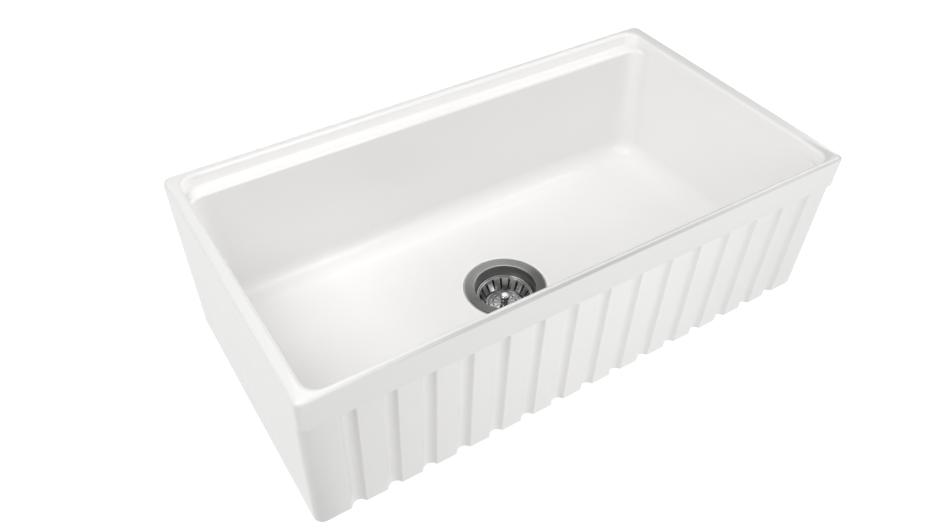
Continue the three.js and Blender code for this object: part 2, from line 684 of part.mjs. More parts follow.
// The post runs from inside the knob through the basket and stopper to the guide's hub.
function basketPost() {
  const top = DISC_TOP + KNOB_HEIGHT - KNOB_CROWN;
  const grooveR = POST_R - CLIP_GROOVE;
  const profile = [
    [0, POST_BOTTOM],
    [POST_R - EDGE_BREAK, POST_BOTTOM],
    [POST_R, POST_BOTTOM + POST_TIP],
    [POST_R, CLIP_BOTTOM - CLEARANCE],
    [grooveR, CLIP_BOTTOM - CLEARANCE],
    [grooveR, CLIP_BOTTOM + CLIP_LENGTH + CLEARANCE],
    [POST_R, CLIP_BOTTOM + CLIP_LENGTH + CLEARANCE],
    [POST_R, top],
    [0, top],
  ];
  return piece("basket_post", turned(profile), plainSteel);
}

function postClip() {
  const innerR = POST_R - CLIP_GROOVE + CLEARANCE;
  const outerR = innerR + CLIP_WALL;
  const profile = [
    [innerR, CLIP_BOTTOM],
    [outerR - CLIP_WALL / 3, CLIP_BOTTOM],
    [outerR, CLIP_BOTTOM + CLIP_LENGTH / 2],
    [outerR - CLIP_WALL / 3, CLIP_BOTTOM + CLIP_LENGTH],
    [innerR, CLIP_BOTTOM + CLIP_LENGTH],
  ];
  return piece("post_clip", turned(profile), plainSteel);
}

function stopperWasher() {
  const bottom = STOPPER_WASHER_TOP - STOPPER_WASHER;
  const ring = washer(POST_R + CLEARANCE, STOPPER_WASHER_R, bottom, STOPPER_WASHER_TOP);
  return piece("stopper_washer", ring, plainSteel);
}

// The rubber stopper: a hub on the post, a disc and a skirt that closes on the cup's floor.
function stopper() {
  const discTop = STOPPER_TOP - STOPPER_HUB_TOP;
  const discBottom = discTop - STOPPER_DISC;
  const skirtR = STOPPER_R - STOPPER_LIP;
  const profile = [
    [POST_R + CLEARANCE, discBottom],
    [skirtR - STOPPER_LIP, discBottom],
    [skirtR, STOPPER_BOTTOM],
    [STOPPER_R, STOPPER_BOTTOM],
    [STOPPER_R - EDGE_BREAK, discTop - EDGE_BREAK],
    [STOPPER_R - STOPPER_LIP, discTop],
    [STOPPER_HUB_R + EDGE_BREAK, discTop],
    [STOPPER_HUB_R, discTop + EDGE_BREAK],
    [STOPPER_HUB_R, STOPPER_TOP],
    [POST_R + CLEARANCE, STOPPER_TOP],
  ];
  return piece("stopper", turned(profile), rubber);
}

function stopperNut() {
  const top = STOPPER_TOP - STOPPER_HUB_TOP - STOPPER_DISC - CLEARANCE;
  const bottom = top - STOPPER_NUT_HEIGHT;
  const nut = new THREE.CylinderGeometry(STOPPER_NUT_R, STOPPER_NUT_R, STOPPER_NUT_HEIGHT, 6);
  const body = solidOf(nut.rotateX(Math.PI / 2).translate(0, 0, (top + bottom) / 2));
  const bore = plug(POST_R + CLEARANCE, bottom - CUT_PAST, top + CUT_PAST);
  return piece("stopper_nut", body.subtract(bore), plainSteel);
}

// What stays with the fireclay, and what lifts out with the basket. Both stand on the drain's axis.
const drain = new THREE.Group();
drain.name = "drain";
drain.position.y = DRAIN_Y;
drain.add(strainerCup(), flangeSeal(), baseGasket(), frictionRing(), locknut());
drain.add(outletFerrule(), postGuide(), tailpieceWasher(), tailpiece(), couplingNut());

const basket = new THREE.Group();
basket.name = "basket";
basket.position.y = DRAIN_Y;
basket.add(basketCup(), basketKnob(), basketPost(), postClip());
basket.add(stopperWasher(), stopper(), stopperNut());

const sink = new THREE.Group();
sink.name = "farmhouse_sink";
sink.add(sinkBody(), drain, basket);

export default sink;
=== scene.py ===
# %% [markdown]
# # A farmhouse apron front sink
# A fireclay sink is one heavy casting under a thick white glaze. Its apron is fluted, its basin has
# a ledge along the front and the back, and a steel basket strainer sits in the floor. The packed
# model gives every piece its place and size. This lesson gives the casting its fine surface as one
# grid of points, turns the drain's pieces from profiles, and then finishes each material with nodes.

# %% Load the frame
import json

import bmesh
import bpy
import numpy as np
from mathutils import Euler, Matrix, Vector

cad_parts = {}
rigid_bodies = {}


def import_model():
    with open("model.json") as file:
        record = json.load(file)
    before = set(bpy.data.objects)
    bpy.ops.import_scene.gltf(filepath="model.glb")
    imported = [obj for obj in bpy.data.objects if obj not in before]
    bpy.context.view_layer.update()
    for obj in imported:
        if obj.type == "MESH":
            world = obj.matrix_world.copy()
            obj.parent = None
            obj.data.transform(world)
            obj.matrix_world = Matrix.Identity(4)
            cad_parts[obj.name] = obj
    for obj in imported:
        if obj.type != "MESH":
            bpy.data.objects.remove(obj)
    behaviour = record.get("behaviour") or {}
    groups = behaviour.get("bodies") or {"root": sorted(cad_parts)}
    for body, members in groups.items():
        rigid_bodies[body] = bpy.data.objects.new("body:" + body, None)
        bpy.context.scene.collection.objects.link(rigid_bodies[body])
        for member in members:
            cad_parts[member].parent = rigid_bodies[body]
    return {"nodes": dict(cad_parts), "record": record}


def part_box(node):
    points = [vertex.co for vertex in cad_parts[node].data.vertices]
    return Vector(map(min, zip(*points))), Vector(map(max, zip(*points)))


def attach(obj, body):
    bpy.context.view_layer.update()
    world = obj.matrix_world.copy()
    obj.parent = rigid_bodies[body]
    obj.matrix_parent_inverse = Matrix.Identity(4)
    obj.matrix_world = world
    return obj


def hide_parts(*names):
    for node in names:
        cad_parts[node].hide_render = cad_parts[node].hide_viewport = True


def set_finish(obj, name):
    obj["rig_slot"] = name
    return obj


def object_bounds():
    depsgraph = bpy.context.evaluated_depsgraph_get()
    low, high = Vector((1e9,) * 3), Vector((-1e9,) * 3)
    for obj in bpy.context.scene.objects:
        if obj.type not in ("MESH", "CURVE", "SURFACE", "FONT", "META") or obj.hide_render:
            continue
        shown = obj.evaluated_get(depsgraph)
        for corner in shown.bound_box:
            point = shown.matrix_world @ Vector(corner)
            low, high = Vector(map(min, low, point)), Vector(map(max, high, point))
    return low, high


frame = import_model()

MM = 0.001
cad_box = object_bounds()
print("nodes in the frame:", len(frame["nodes"]))

# %% [markdown]
# ## The camera
# The picture was taken from the left, a little above the basin, with a moderate wide lens. The
# camera stands where the corners of the rim, the apron's foot and the left side fall on the
# photograph's corners.

# %% Place the camera
CAMERA_AT = (-0.55499, -0.78549, 0.96358)
CAMERA_TURN = (47.063, -0.169, -31.909)  # degrees about X, Y and Z
LENS_MM = 32.74

camera = bpy.data.objects.new("camera", bpy.data.cameras.new("camera"))
camera.location = CAMERA_AT
camera.rotation_euler = Euler(np.radians(CAMERA_TURN))
camera.data.lens = LENS_MM
camera.data.sensor_width = 36
bpy.context.scene.collection.objects.link(camera)
bpy.context.scene.camera = camera
print("camera", tuple(round(v, 3) for v in camera.location), "lens", camera.data.lens)

# %% [markdown]
# ## Surfaces from grids
# Every new piece is a grid of points: rows run along a profile and columns run round it. Whole
# arrays go into the mesh at once, and the four corners of each cell make a face. Each grid meets its
# own start both ways, so it is closed, and points that fall together on an axis are merged.

# %% From a grid of points to a mesh
MERGE = 1e-7
SMOOTH_ANGLE = np.radians(40)


def grid_faces(rows, columns):
    """Four corners of each cell of a grid whose rows and columns both close on themselves."""
    index = np.arange(rows * columns).reshape(rows, columns)
    index = np.pad(index, (0, 1), mode="wrap")
    corners = [index[:-1, :-1], index[:-1, 1:], index[1:, 1:], index[1:, :-1]]
    return np.stack(corners, axis=-1).reshape(-1, 4)


def grid_piece(name, grid, painted_shade=None):
    """A smooth object from a grid of points in millimetres, shaped rows, columns, 3, its doubles merged.
    The painted shade, one value for each point, says how much darker than its finish it is painted there."""
    faces = grid_faces(*grid.shape[:2]).astype(np.int32)
    mesh = bpy.data.meshes.new(name)
    mesh.vertices.add(grid.size // 3)
    mesh.vertices.foreach_set("co", (grid * MM).astype(np.float32).ravel())
    mesh.loops.add(faces.size)
    mesh.loops.foreach_set("vertex_index", faces.ravel())
    mesh.polygons.add(len(faces))
    mesh.polygons.foreach_set("loop_start", np.arange(0, faces.size, 4, dtype=np.int32))
    mesh.update(calc_edges=True)
    if painted_shade is not None:
        values = mesh.attributes.new("painted_shade", "FLOAT", "POINT").data
        values.foreach_set("value", painted_shade.astype(np.float32).ravel())
    shape = bmesh.new()
    shape.from_mesh(mesh)
    bmesh.ops.remove_doubles(shape, verts=shape.verts, dist=MERGE)
    bmesh.ops.dissolve_degenerate(shape, edges=shape.edges, dist=MERGE)
    shape.to_mesh(mesh)
    shape.free()
    mesh.shade_smooth()
    mesh.set_sharp_from_angle(angle=SMOOTH_ANGLE)
    piece = bpy.data.objects.new(name, mesh)
    bpy.context.scene.collection.objects.link(piece)
    print(name, "has", len(mesh.polygons), "faces")
    return piece


# %% [markdown]
# ## The fireclay body
# The real body is cast in one piece, so its skin has no seam: from the drain hole it runs out along
# the underside, up the apron, over the rim, down past the ledge, and back along the floor. That is
# a closed loop of sections, and each section is a rounded rectangle seen from above. So the whole
# body is one grid: one row for each section and one column for each place round the plan.

# %% Sizes of the body's outside, in millimetres
body_low, body_high = (np.array(corner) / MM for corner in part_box("sink_body"))
SIDE = body_high[0]
HEIGHT = body_high[2]
RIM_FRONT = -228.5  # the apron's and the back's planes where they would meet the rim's level
RIM_BACK = 228.5
FRONT_LEAN = 11
BACK_LEAN = 20
TOP_EDGE = 5
FOOT_EDGE = 3
BAND_FOOT = HEIGHT - 48
BAND_RELIEF = 2.5
BAND_CORNER = 9
PANEL_CORNER = 14
BACK_CORNER = 14
print("body", np.round(body_high - body_low, 1))

# %% Sizes of the flutes
FLUTE_COUNT = 15
FLUTE_PITCH = 51.6
FLUTE_R = 11
FLUTE_DEPTH = 7
FLUTE_EDGE = 2.5
FLUTE_TOP = BAND_FOOT - 3
FLUTE_TOP_R = 4
print("flutes:", FLUTE_COUNT, "each", FLUTE_DEPTH, "deep")

# %% Sizes of the opening, the ledges and the basin
OPENING_SIDE = 400
OPENING_FRONT = RIM_FRONT + 10.5
OPENING_BACK = RIM_BACK - 13.5
OPENING_CORNER = 22
RIM_EDGE = 5
LEDGE_Z = HEIGHT - 22
LEDGE_NOSE = 5
LEDGE_ROOT = 4
BASIN_FRONT = OPENING_FRONT + 15
BASIN_BACK = OPENING_BACK - 20
LEDGE_CORNER = 24  # the basin's corners under the ledges, which grow to the next down the wall
BASIN_CORNER = 36
BEND = 40  # every inner section bends within this distance of its corner
SIDE_DRAFT = 8
WALL_DRAFT = 5
FLOOR_Z = 26
FLOOR_FALL = 3
FLOOR_FILLET = 30
print("opening", 2 * OPENING_SIDE, "by", OPENING_BACK - OPENING_FRONT)

# %% Sizes of the drain's recess and hole
flange_low, flange_high = (np.array(corner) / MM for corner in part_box("strainer_cup"))
DRAIN_Y = (flange_low[1] + flange_high[1]) / 2
FLANGE_R = (flange_high[0] - flange_low[0]) / 2
FLANGE_TOP = flange_high[2]
RECESS_R = FLANGE_R + 1.8
RECESS_Z = FLANGE_TOP - 3.4
DRAIN_HOLE_R = 51.5
DRAIN_EDGE = 1.5
SEAT_R = 63.8  # the ground seat of the gasket in the underside
SEAT_DEPTH = 1
print("flange", round(FLANGE_R, 1), "drain at", round(DRAIN_Y, 1))

# %% [markdown]
# The flutes are the reason for the columns' spacing. Each flute is a round-bottomed groove with
# softened edges, so its depth is worked out from the distance to its middle line, and the columns
# stand close together where that depth changes.

# %% The flutes' section and the columns that follow it
FLUTE_REACH = np.sqrt((FLUTE_R + FLUTE_EDGE) ** 2 - (FLUTE_EDGE + FLUTE_R - FLUTE_DEPTH) ** 2)
FLUTE_MEET = FLUTE_REACH * FLUTE_R / (FLUTE_R + FLUTE_EDGE)
FLUTE_X = (np.arange(FLUTE_COUNT) - (FLUTE_COUNT - 1) / 2) * FLUTE_PITCH


def flute_depth(x, share=1.0):
    """Depth of the fluted panel at x. Round bottom: the root of R squared less d squared, less the
    axis's distance from the face. Edge: a quarter-like round of the edge radius, tangent to both.
    A share under one draws the section in, for the flute's closed top."""
    d = np.abs(x[..., None] - FLUTE_X).min(-1) / share
    bottom = np.sqrt(np.clip(FLUTE_R**2 - d**2, 0, None)) - (FLUTE_R - FLUTE_DEPTH)
    edge = FLUTE_EDGE - np.sqrt(np.clip(FLUTE_EDGE**2 - (FLUTE_REACH - d) ** 2, 0, None))
    depth = np.where(d < FLUTE_MEET, bottom, np.where(d < FLUTE_REACH, edge, 0.0))
    return depth * share


EDGE_BESIDE = 0.8  # the flat's own column stands this far beside a flute's edge
half_flute = np.concatenate(
    [
        FLUTE_R * np.sin(np.linspace(0, np.arcsin(FLUTE_MEET / FLUTE_R), 7)),
        np.linspace(FLUTE_MEET, FLUTE_REACH, 5)[1:],
        [FLUTE_REACH + EDGE_BESIDE, FLUTE_PITCH / 2],
    ]
)
START_X = 345.0  # the straight middle of every section ends here, before the corners begin
START_Y = 140.0
right_flutes = FLUTE_X[FLUTE_X >= 0]
flute_columns = np.concatenate([right_flutes[:, None] + half_flute, right_flutes[:, None] - half_flute])
flute_columns = np.unique(np.round(flute_columns, 3))
FRONT_X = np.append(flute_columns[(flute_columns >= 0) & (flute_columns < START_X - 0.5)], START_X)
CORNER_X = np.append(flute_columns[flute_columns > START_X + 0.5], [390.0, SIDE - PANEL_CORNER])
CORNER_SHARE = (CORNER_X - START_X) / (SIDE - PANEL_CORNER - START_X)
print("columns along half the apron:", len(FRONT_X) + len(CORNER_X))

# %% [markdown]
# A section's corner has the same number of columns whatever its radius: some along the front, some
# round the bend, some along the side. The opening above the ledges has smaller corners than the
# basin below, but both bends start and end at the same places, so the side walls stay one plane.

# %% One section of the body, as seen from above
BEND_STEPS = 18
BACK_X = np.linspace(0, START_X, 26)
BACK_SHARE = np.linspace(0, 1, 5)[1:]
SIDE_SHARE = np.linspace(0, 1, 5)[1:]
SIDE_Y = np.linspace(-START_Y, START_Y, 25)


def corner(side, edge, radius, bend_x, bend_y, front_share):
    """From (START_X, edge) to (side, -START_Y), edge being negative: straight to bend_x; by equal
    lengths along straight, arc and straight to (side, bend_y); then straight up the side."""
    straight = START_X + (bend_x - START_X) * front_share
    first = np.stack([straight, np.broadcast_to(edge, straight.shape)], -1)
    run_in, run_out = side - radius - bend_x, bend_y - (edge + radius)
    along = np.linspace(0, 1, BEND_STEPS + 1)[1:] * (run_in + radius * np.pi / 2 + run_out)
    turn = np.clip((along - run_in) / radius, 0, np.pi / 2)
    past = np.clip(along - run_in - radius * np.pi / 2, 0, None)
    x = bend_x + np.minimum(along, run_in) + radius * np.sin(turn)
    y = edge + radius * (1 - np.cos(turn)) + past
    last = np.stack([np.full(SIDE_SHARE.shape, side), bend_y + (-START_Y - bend_y) * SIDE_SHARE], -1)
    return np.concatenate([first, np.stack([x, y], -1), last])


def section(side, front, back, front_r, back_r, bends=None):
    """Closed outline, counter-clockwise from the middle of the front: half front, corner, side,
    corner, half back, and the same mirrored in x."""
    front_bend, back_bend = bends or ((side - front_r, front + front_r), (side - back_r, back - back_r))
    start = np.stack([FRONT_X, np.full(FRONT_X.shape, front)], -1)
    near = corner(side, front, front_r, *front_bend, CORNER_SHARE)
    wall = np.stack([np.full(SIDE_Y.shape, side), SIDE_Y], -1)[1:-1]
    far = corner(side, -back, back_r, back_bend[0], -back_bend[1], BACK_SHARE)[::-1] * (1, -1)
    end = np.stack([BACK_X, np.full(BACK_X.shape, back)], -1)[::-1]
    half = np.concatenate([start, near, wall, far, end])
    return np.concatenate([half, half[-2:0:-1] * (-1, 1)])


outer = section(SIDE, RIM_FRONT, RIM_BACK, BAND_CORNER, BACK_CORNER)
print("columns round the body:", len(outer))

# %% [markdown]
# The rows follow. A rounded edge takes a row every few degrees, and a flat takes one row just
# beside each edge, so that the shading of the edge doesn't spread over the flat.

# %% One outer section at any height
STEPS = 8


def quarter(steps=STEPS):
    """The angles of a rounded edge, from 0 to a right angle."""
    return np.linspace(0, np.pi / 2, steps)


def rounded_edge(radius, steps=STEPS):
    """A rounded edge's distances from the two flats that it joins: radius times one less the sine,
    and radius times one less the cosine."""
    return [(radius * (1 - np.sin(a)), radius * (1 - np.cos(a))) for a in quarter(steps)]


def at_level(plan, z):
    """The plan's points, all at height z."""
    return np.column_stack([plan, np.full(len(plan), z)])


def outside(z, inset=0.0, relief=0.0, corner_r=BAND_CORNER, flute=None):
    """One outer section at height z: the leaning planes, drawn in by the inset, with the flutes
    pressed in where the row crosses the panel."""
    front = RIM_FRONT + FRONT_LEAN * (HEIGHT - z) / HEIGHT + relief + inset
    back = RIM_BACK - BACK_LEAN * (HEIGHT - z) / HEIGHT - inset
    plan = section(SIDE - inset, front, back, corner_r - inset, BACK_CORNER - inset)
    if flute is not None:
        on_front = (plan[:, 1] < front + 1e-6) & (np.abs(plan[:, 0]) < SIDE - corner_r + 1e-6)
        plan[:, 1] += np.where(on_front, flute_depth(plan[:, 0], flute), 0.0)
    return at_level(plan, z)


# %% Rows of the outside: foot, fluted panel, flute tops, step to the band, band, rounded top
FOOT_ROW, BAND_ROW, BESIDE = 0.6, 0.8, 1  # how far beside an edge a flat's own row stands
PANEL_LEVELS = (40, 80, 120, 160)
UNDER_TOP = 6  # the last full row of the flutes, below their tops
FLUTE_FADE = ((0.08, 0.6), (0.25, 0.3), (0.35, 0.05))  # lift over the top, share of the flute left
foot = [outside(up, inset, BAND_RELIEF, PANEL_CORNER, 1.0) for inset, up in rounded_edge(FOOT_EDGE)]
panel_levels = (FOOT_EDGE + FOOT_ROW, *PANEL_LEVELS, FLUTE_TOP - UNDER_TOP)
panel = [outside(z, 0, BAND_RELIEF, PANEL_CORNER, 1.0) for z in panel_levels]
flute_tops = []
for a in quarter():
    share = 1 - (FLUTE_TOP_R / FLUTE_R) * (1 - np.cos(a))
    z = FLUTE_TOP - FLUTE_TOP_R * (1 - np.sin(a))
    flute_tops.append(outside(z, 0, BAND_RELIEF, PANEL_CORNER, share))
for lift, share in FLUTE_FADE:
    flute_tops.append(outside(FLUTE_TOP + lift, 0, BAND_RELIEF, PANEL_CORNER, share))
step = []
for a in quarter():
    share = 1 - np.sin(a)
    corner_r = BAND_CORNER + (PANEL_CORNER - BAND_CORNER) * share
    step.append(outside(BAND_FOOT - BAND_RELIEF * np.cos(a), 0, BAND_RELIEF * share, corner_r))
band = [outside(z) for z in (BAND_FOOT + BAND_ROW, HEIGHT - TOP_EDGE - BESIDE)]
top_edge = [outside(HEIGHT - down, inset) for down, inset in rounded_edge(TOP_EDGE)]
outside_rows = foot + panel + flute_tops + step + band + top_edge
print("outer rows:", len(outside_rows))

# %% [markdown]
# Inside, the ledges run only along the front and the back. Along the sides the wall goes straight
# down, so there the rows of the ledge are spread in height instead, and they turn into the ledge
# round the corners.

# %% One inner section at any height
def inner_side(z):
    """The side wall's x: it draws in by the draft in proportion to the depth."""
    return OPENING_SIDE - SIDE_DRAFT * (HEIGHT - z) / (HEIGHT - FLOOR_Z)


def basin_walls(z):
    """The side, front and back walls below the ledges, drawn in by the draft."""
    draft = WALL_DRAFT * (LEDGE_Z - z) / (LEDGE_Z - FLOOR_Z)
    return inner_side(z), BASIN_FRONT + draft, BASIN_BACK - draft


def inner_bends(z):
    """Where the bends of an inner section begin and end, the same above the ledges as below."""
    side, front, back = basin_walls(z)
    return (side - BEND, front + BEND), (side - BEND, back - BEND)


def opening(z, out=0.0, ledge_in=0.0):
    """A section above the ledges. The bends begin and end where the basin's do."""
    front, back = OPENING_FRONT - out + ledge_in, OPENING_BACK + out - ledge_in
    radius = OPENING_CORNER - ledge_in
    plan = section(inner_side(z) + out, front, back, radius, radius, inner_bends(z))
    return at_level(plan, z)


def ledge_nose(z, out):
    """The basin's outline widened by the nose's rounding, and held to the side walls."""
    side, front, back = basin_walls(z)
    radius = LEDGE_CORNER + out
    plan = section(side + out, front - out, back + out, radius, radius, inner_bends(z))
    plan[:, 0] = np.clip(plan[:, 0], -side, side)
    return at_level(plan, z)


def basin(z, inset=0.0):
    """A section below the ledges, drawn in by the floor's fillet. The corners' radius grows from
    the ledges to the fillet in proportion to the depth."""
    side, front, back = basin_walls(z)
    depth = min(1.0, (LEDGE_Z - z) / (LEDGE_Z - FLOOR_Z - FLOOR_FALL - FLOOR_FILLET))
    radius = LEDGE_CORNER + (BASIN_CORNER - LEDGE_CORNER) * depth - inset
    plan = section(side - inset, front + inset, back - inset, radius, radius, inner_bends(z))
    return at_level(plan, z)


# %% Rows of the inside: rim edge, wall, ledge, basin wall, floor fillet
WALL_ROWS, FILLET_ROWS = 7, 14
LEDGE_SHARES = (0.06, 0.5, 0.94)  # rows on the ledge's flat, as shares of its width


def blend_rows(first, last, shares):
    """Rows between two rows: each point goes straight from one to the other."""
    return [first + (last - first) * share for share in shares]


rim_edge = [opening(HEIGHT - down, out) for down, out in rounded_edge(RIM_EDGE)[::-1]]
above = [opening(z) for z in (HEIGHT - RIM_EDGE - BESIDE, LEDGE_Z + LEDGE_ROOT + BESIDE)]
root = [opening(LEDGE_Z + up, ledge_in=inset) for inset, up in rounded_edge(LEDGE_ROOT)[::-1]]
nose = [ledge_nose(LEDGE_Z - down, out) for down, out in rounded_edge(LEDGE_NOSE)[::-1]]
ledge = root + blend_rows(root[-1], nose[0], LEDGE_SHARES) + nose
fillet_foot = FLOOR_Z + FLOOR_FALL
wall_levels = np.linspace(LEDGE_Z - LEDGE_NOSE - BESIDE, fillet_foot + FLOOR_FILLET + BESIDE, WALL_ROWS)
walls = [basin(z) for z in wall_levels]
fillet_rounding = rounded_edge(FLOOR_FILLET, FILLET_ROWS)[::-1]
fillet = [basin(fillet_foot + up, inset) for inset, up in fillet_rounding]
print("inner rows:", len(rim_edge + above + ledge + walls + fillet))

# %% Spread the ledge's rows down the side walls
NARROW = 3  # a ledge less wide than this begins to turn into the wall
ledge = np.stack(ledge)
width = np.linalg.norm(nose[0][:, :2] - root[-1][:, :2], axis=1)
on_side = np.clip(1 - width / NARROW, 0, 1)
level = np.linspace(LEDGE_Z + LEDGE_ROOT, LEDGE_Z - LEDGE_NOSE, len(ledge))[:, None]
ledge[:, :, 2] += (level - ledge[:, :, 2]) * on_side
print("ledge rows:", len(ledge), "columns on the sides:", int((on_side > 0.99).sum()))

# %% Rows of the floor
SEAT_ROUND = 1.2
SEAT_BESIDE = 2  # the floor ends this far outside the recess's rounded edge
FLOOR_ROWS = 19
FALL_POWER = 1.3  # over one, so that the floor falls fastest near the walls
drain_centre = np.array([0.0, DRAIN_Y])


def ring(radius, z):
    """A circle round the drain whose columns point towards the floor's outline."""
    out = fillet[-1][:, :2] - drain_centre
    plan = drain_centre + radius * out / np.linalg.norm(out, axis=1, keepdims=True)
    return at_level(plan, z)


floor_start, floor_end = fillet[-1], ring(RECESS_R + SEAT_ROUND + SEAT_BESIDE, FLOOR_Z)
floor = []
for share in np.linspace(0, 1, FLOOR_ROWS + 1)[1:]:
    row = floor_start + (floor_end - floor_start) * share
    row[:, 2] = FLOOR_Z + FLOOR_FALL * (1 - share) ** FALL_POWER
    floor.append(row)
print("floor rows:", len(floor))

# %% Rows of the recess, the drain hole and the underside
RECESS_BEND = 0.4
PAST_FLUTES = 2  # the underside's flat begins this far behind the flutes
seat = [ring(RECESS_R + out, FLOOR_Z - down) for out, down in rounded_edge(SEAT_ROUND, 5)]
seat += [ring(RECESS_R, RECESS_Z + RECESS_BEND), ring(RECESS_R - RECESS_BEND, RECESS_Z)]
bore = [ring(DRAIN_HOLE_R + DRAIN_EDGE, RECESS_Z), ring(DRAIN_HOLE_R, RECESS_Z - DRAIN_EDGE)]
bore += [ring(DRAIN_HOLE_R, SEAT_DEPTH + DRAIN_EDGE), ring(DRAIN_HOLE_R + DRAIN_EDGE, SEAT_DEPTH)]
bore += [ring(SEAT_R, SEAT_DEPTH), ring(SEAT_R, 0)]
past_flutes = outside(0, FOOT_EDGE + FLUTE_DEPTH + PAST_FLUTES, BAND_RELIEF, PANEL_CORNER)
underside = blend_rows(bore[-1], past_flutes, (0.01, 0.15, 0.3, 0.45, 0.6, 0.75, 0.9, 1))
underside += blend_rows(past_flutes, foot[0], (0.5, 0.95))

rows = underside + outside_rows + rim_edge + above + list(ledge) + walls + fillet + floor + seat + bore
print("rows in all:", len(rows))

# %% [markdown]
# In the photograph the white sink isn't one even tone. It is a little darker over the edges, most
# of all along the apron's top, and on the rim, the back wall and the middle of the floor. That is
# painted shade: each point keeps a shade which darkens the glaze's colour and says how much darker
# than the full white it is made. The point's row says how far over an edge it lies, and its column
# says which side of the sink it is on.

# %% Which way each column faces, and values that are set along the front
SHADE_X = (-400, -330, -210, -60, 80, 250, 400)  # places along the front, left to right
CORNER_WEIGHT = 0.7  # for bend, which is nothing on a flat and most in the middle of a corner
ahead = np.roll(outer, -1, 0) - np.roll(outer, 1, 0)
ahead /= np.linalg.norm(ahead, axis=1, keepdims=True)
to_right, to_front = np.clip(ahead[:, 1], 0, 1), np.clip(ahead[:, 0], 0, 1)
to_left, to_back = np.clip(-ahead[:, 1], 0, 1), np.clip(-ahead[:, 0], 0, 1)
bend = CORNER_WEIGHT * (1 - np.abs(ahead).max(axis=1))


def along_front(*values):
    """The values at the places SHADE_X, and straight lines between them."""
    return np.interp(outer[:, 0], SHADE_X, values)


print("columns that face the front:", int((to_front > 0.99).sum()))

# %% Painted shades of the outside, from the foot to the rim
END_SHADE, BAND_SHADE, CORNER_SHADE = 0.075, 0.095, 0.14
LEFT_END = (-405, -385)  # here the front takes over the near corner's shade
RIM_SHADE, RIGHT_RIM_SHADE, BACK_RIM_SHADE, CORNER_RIM_SHADE = 0.16, 0.15, 0.04, 0.25
FRONT_LINE_SHADE, RIGHT_LINE_SHADE = 0.41, 0.34  # added half way round the top edge
along_panel = along_front(0, 0.2, 0.6, 1, 1, 0.45, 0)
panel_shade = END_SHADE * (1 - to_front * along_panel)
band_shade = panel_shade + BAND_SHADE * to_front * along_panel
# near_corner: where painted shade darkens the apron's front left corner, most towards the foot
near_corner = bend * (outer[:, 0] < 0) * (outer[:, 1] < 0)
near_corner += to_front * np.interp(outer[:, 0], LEFT_END, (1, 0))
along_rim = along_front(-0.07, -0.04, 0.03, 0.06, 0.12, 0.12, 0.12)
rim_shade = RIM_SHADE + along_rim * to_front + RIGHT_RIM_SHADE * to_right + BACK_RIM_SHADE * to_back
rim_shade += CORNER_RIM_SHADE * to_front * to_right
# a dark line of painted shade half way round the apron's top edge, along the front and on the right
along_edge = along_front(0.2, 0.5, 0.95, 0.95, 0.7, 0.45, 0.4)
outer_line_shade = FRONT_LINE_SHADE * to_front * along_edge + RIGHT_LINE_SHADE * to_right
turn = quarter()[:, None]
over_edge = band_shade + (rim_shade - band_shade) * np.sin(turn) ** 2
over_edge += outer_line_shade * np.sin(2 * turn)
print("darkest over the top edge:", round(over_edge.max(), 2))

# %% Painted shades of the inside, from the rim to the drain
LEDGE_SHADE, WALL_SHADE, BACK_SHADE, FLOOR_SHADE = 0.08, 0.045, 0.105, 0.115
INNER_LINE_SHADE = 0.22  # added half way round the rim's inner edge
LEFT_SHARE, NEAR_RIGHT = 0.55, 3  # what the left adds there, and the front right corner takes off
FLOOR_X, FLOOR_SHARES = (-370, -80, 90, 300), (0, 1, 1, 0.25)
FLOOR_POWER = 0.6
# the inner edges that face away from the camera, but not the front right corner, which faces it
along_inside = along_front(0.5, 0.5, 0.7, 1, 1, 1, 0.8)
inner_line_weight = to_front * along_inside + LEFT_SHARE * to_left - NEAR_RIGHT * to_front * to_right
inner_line_weight = np.clip(inner_line_weight, 0, 1)
# painted shade over the rim's inner edge, with a dark line half way round it where the weight is high
into_basin = rim_shade * np.maximum(np.cos(turn) ** 2, inner_line_weight)
into_basin += INNER_LINE_SHADE * inner_line_weight * np.sin(2 * turn)
# the inner corners keep less of the painted shade, so they show lighter than the walls, as a painted
# highlight
wall_shade = WALL_SHADE * (1 - bend)
back_shade = BACK_SHADE * to_back * (1 - bend)
down_wall = np.linspace(1, 0, len(walls) + len(fillet))[:, None]
to_middle = np.interp([row[:, 0] for row in floor], FLOOR_X, FLOOR_SHARES)
across_floor = np.sin(np.linspace(0, np.pi / 2, len(floor)))[:, None] ** FLOOR_POWER
print("darkest down to the basin:", round(into_basin.max(), 2))

# %% A painted shade for each row, and the body itself
CORNER_FADE = 0.7  # the share of the near corner's shade that is gone at the band
low_rows = np.stack(foot + panel + flute_tops + step[: STEPS // 2])
near_foot = 1 - CORNER_FADE * low_rows[:, :1, 2] / BAND_FOOT
row_shades = [
    (len(underside), END_SHADE),
    (len(low_rows), panel_shade + CORNER_SHADE * near_corner * near_foot),
    (STEPS - STEPS // 2 + len(band), band_shade),
    (STEPS, over_edge),
    (STEPS, into_basin),
    (len(above), wall_shade),
    (len(ledge), wall_shade * on_side + LEDGE_SHADE * (1 - on_side)),
    (len(down_wall), (wall_shade + back_shade) * down_wall),
    (len(floor), FLOOR_SHADE * across_floor * to_middle),
    (len(seat) + len(bore), 0),
]
painted_shade = np.concatenate([np.broadcast_to(value, (count, len(outer))) for count, value in row_shades])
sink_surface = grid_piece("fireclay_body", np.stack(rows), painted_shade)
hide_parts("sink_body")
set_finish(sink_surface, "glazed_fireclay")
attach(sink_surface, "sink")

# %% [markdown]
# ## Turned pieces
# The strainer, its basket and the fittings below are pressed or turned, so each is a profile spun
# round the drain's axis. The profile's corners each have a small radius, because a bright line on a
# rounded edge is what tells the eye that metal is thick.

# %% A profile with rounded corners, and a profile spun round the drain
ROUND = 192
PROFILE_BESIDE = 0.15  # a flat's own point stands this share of the rounding beside an arc


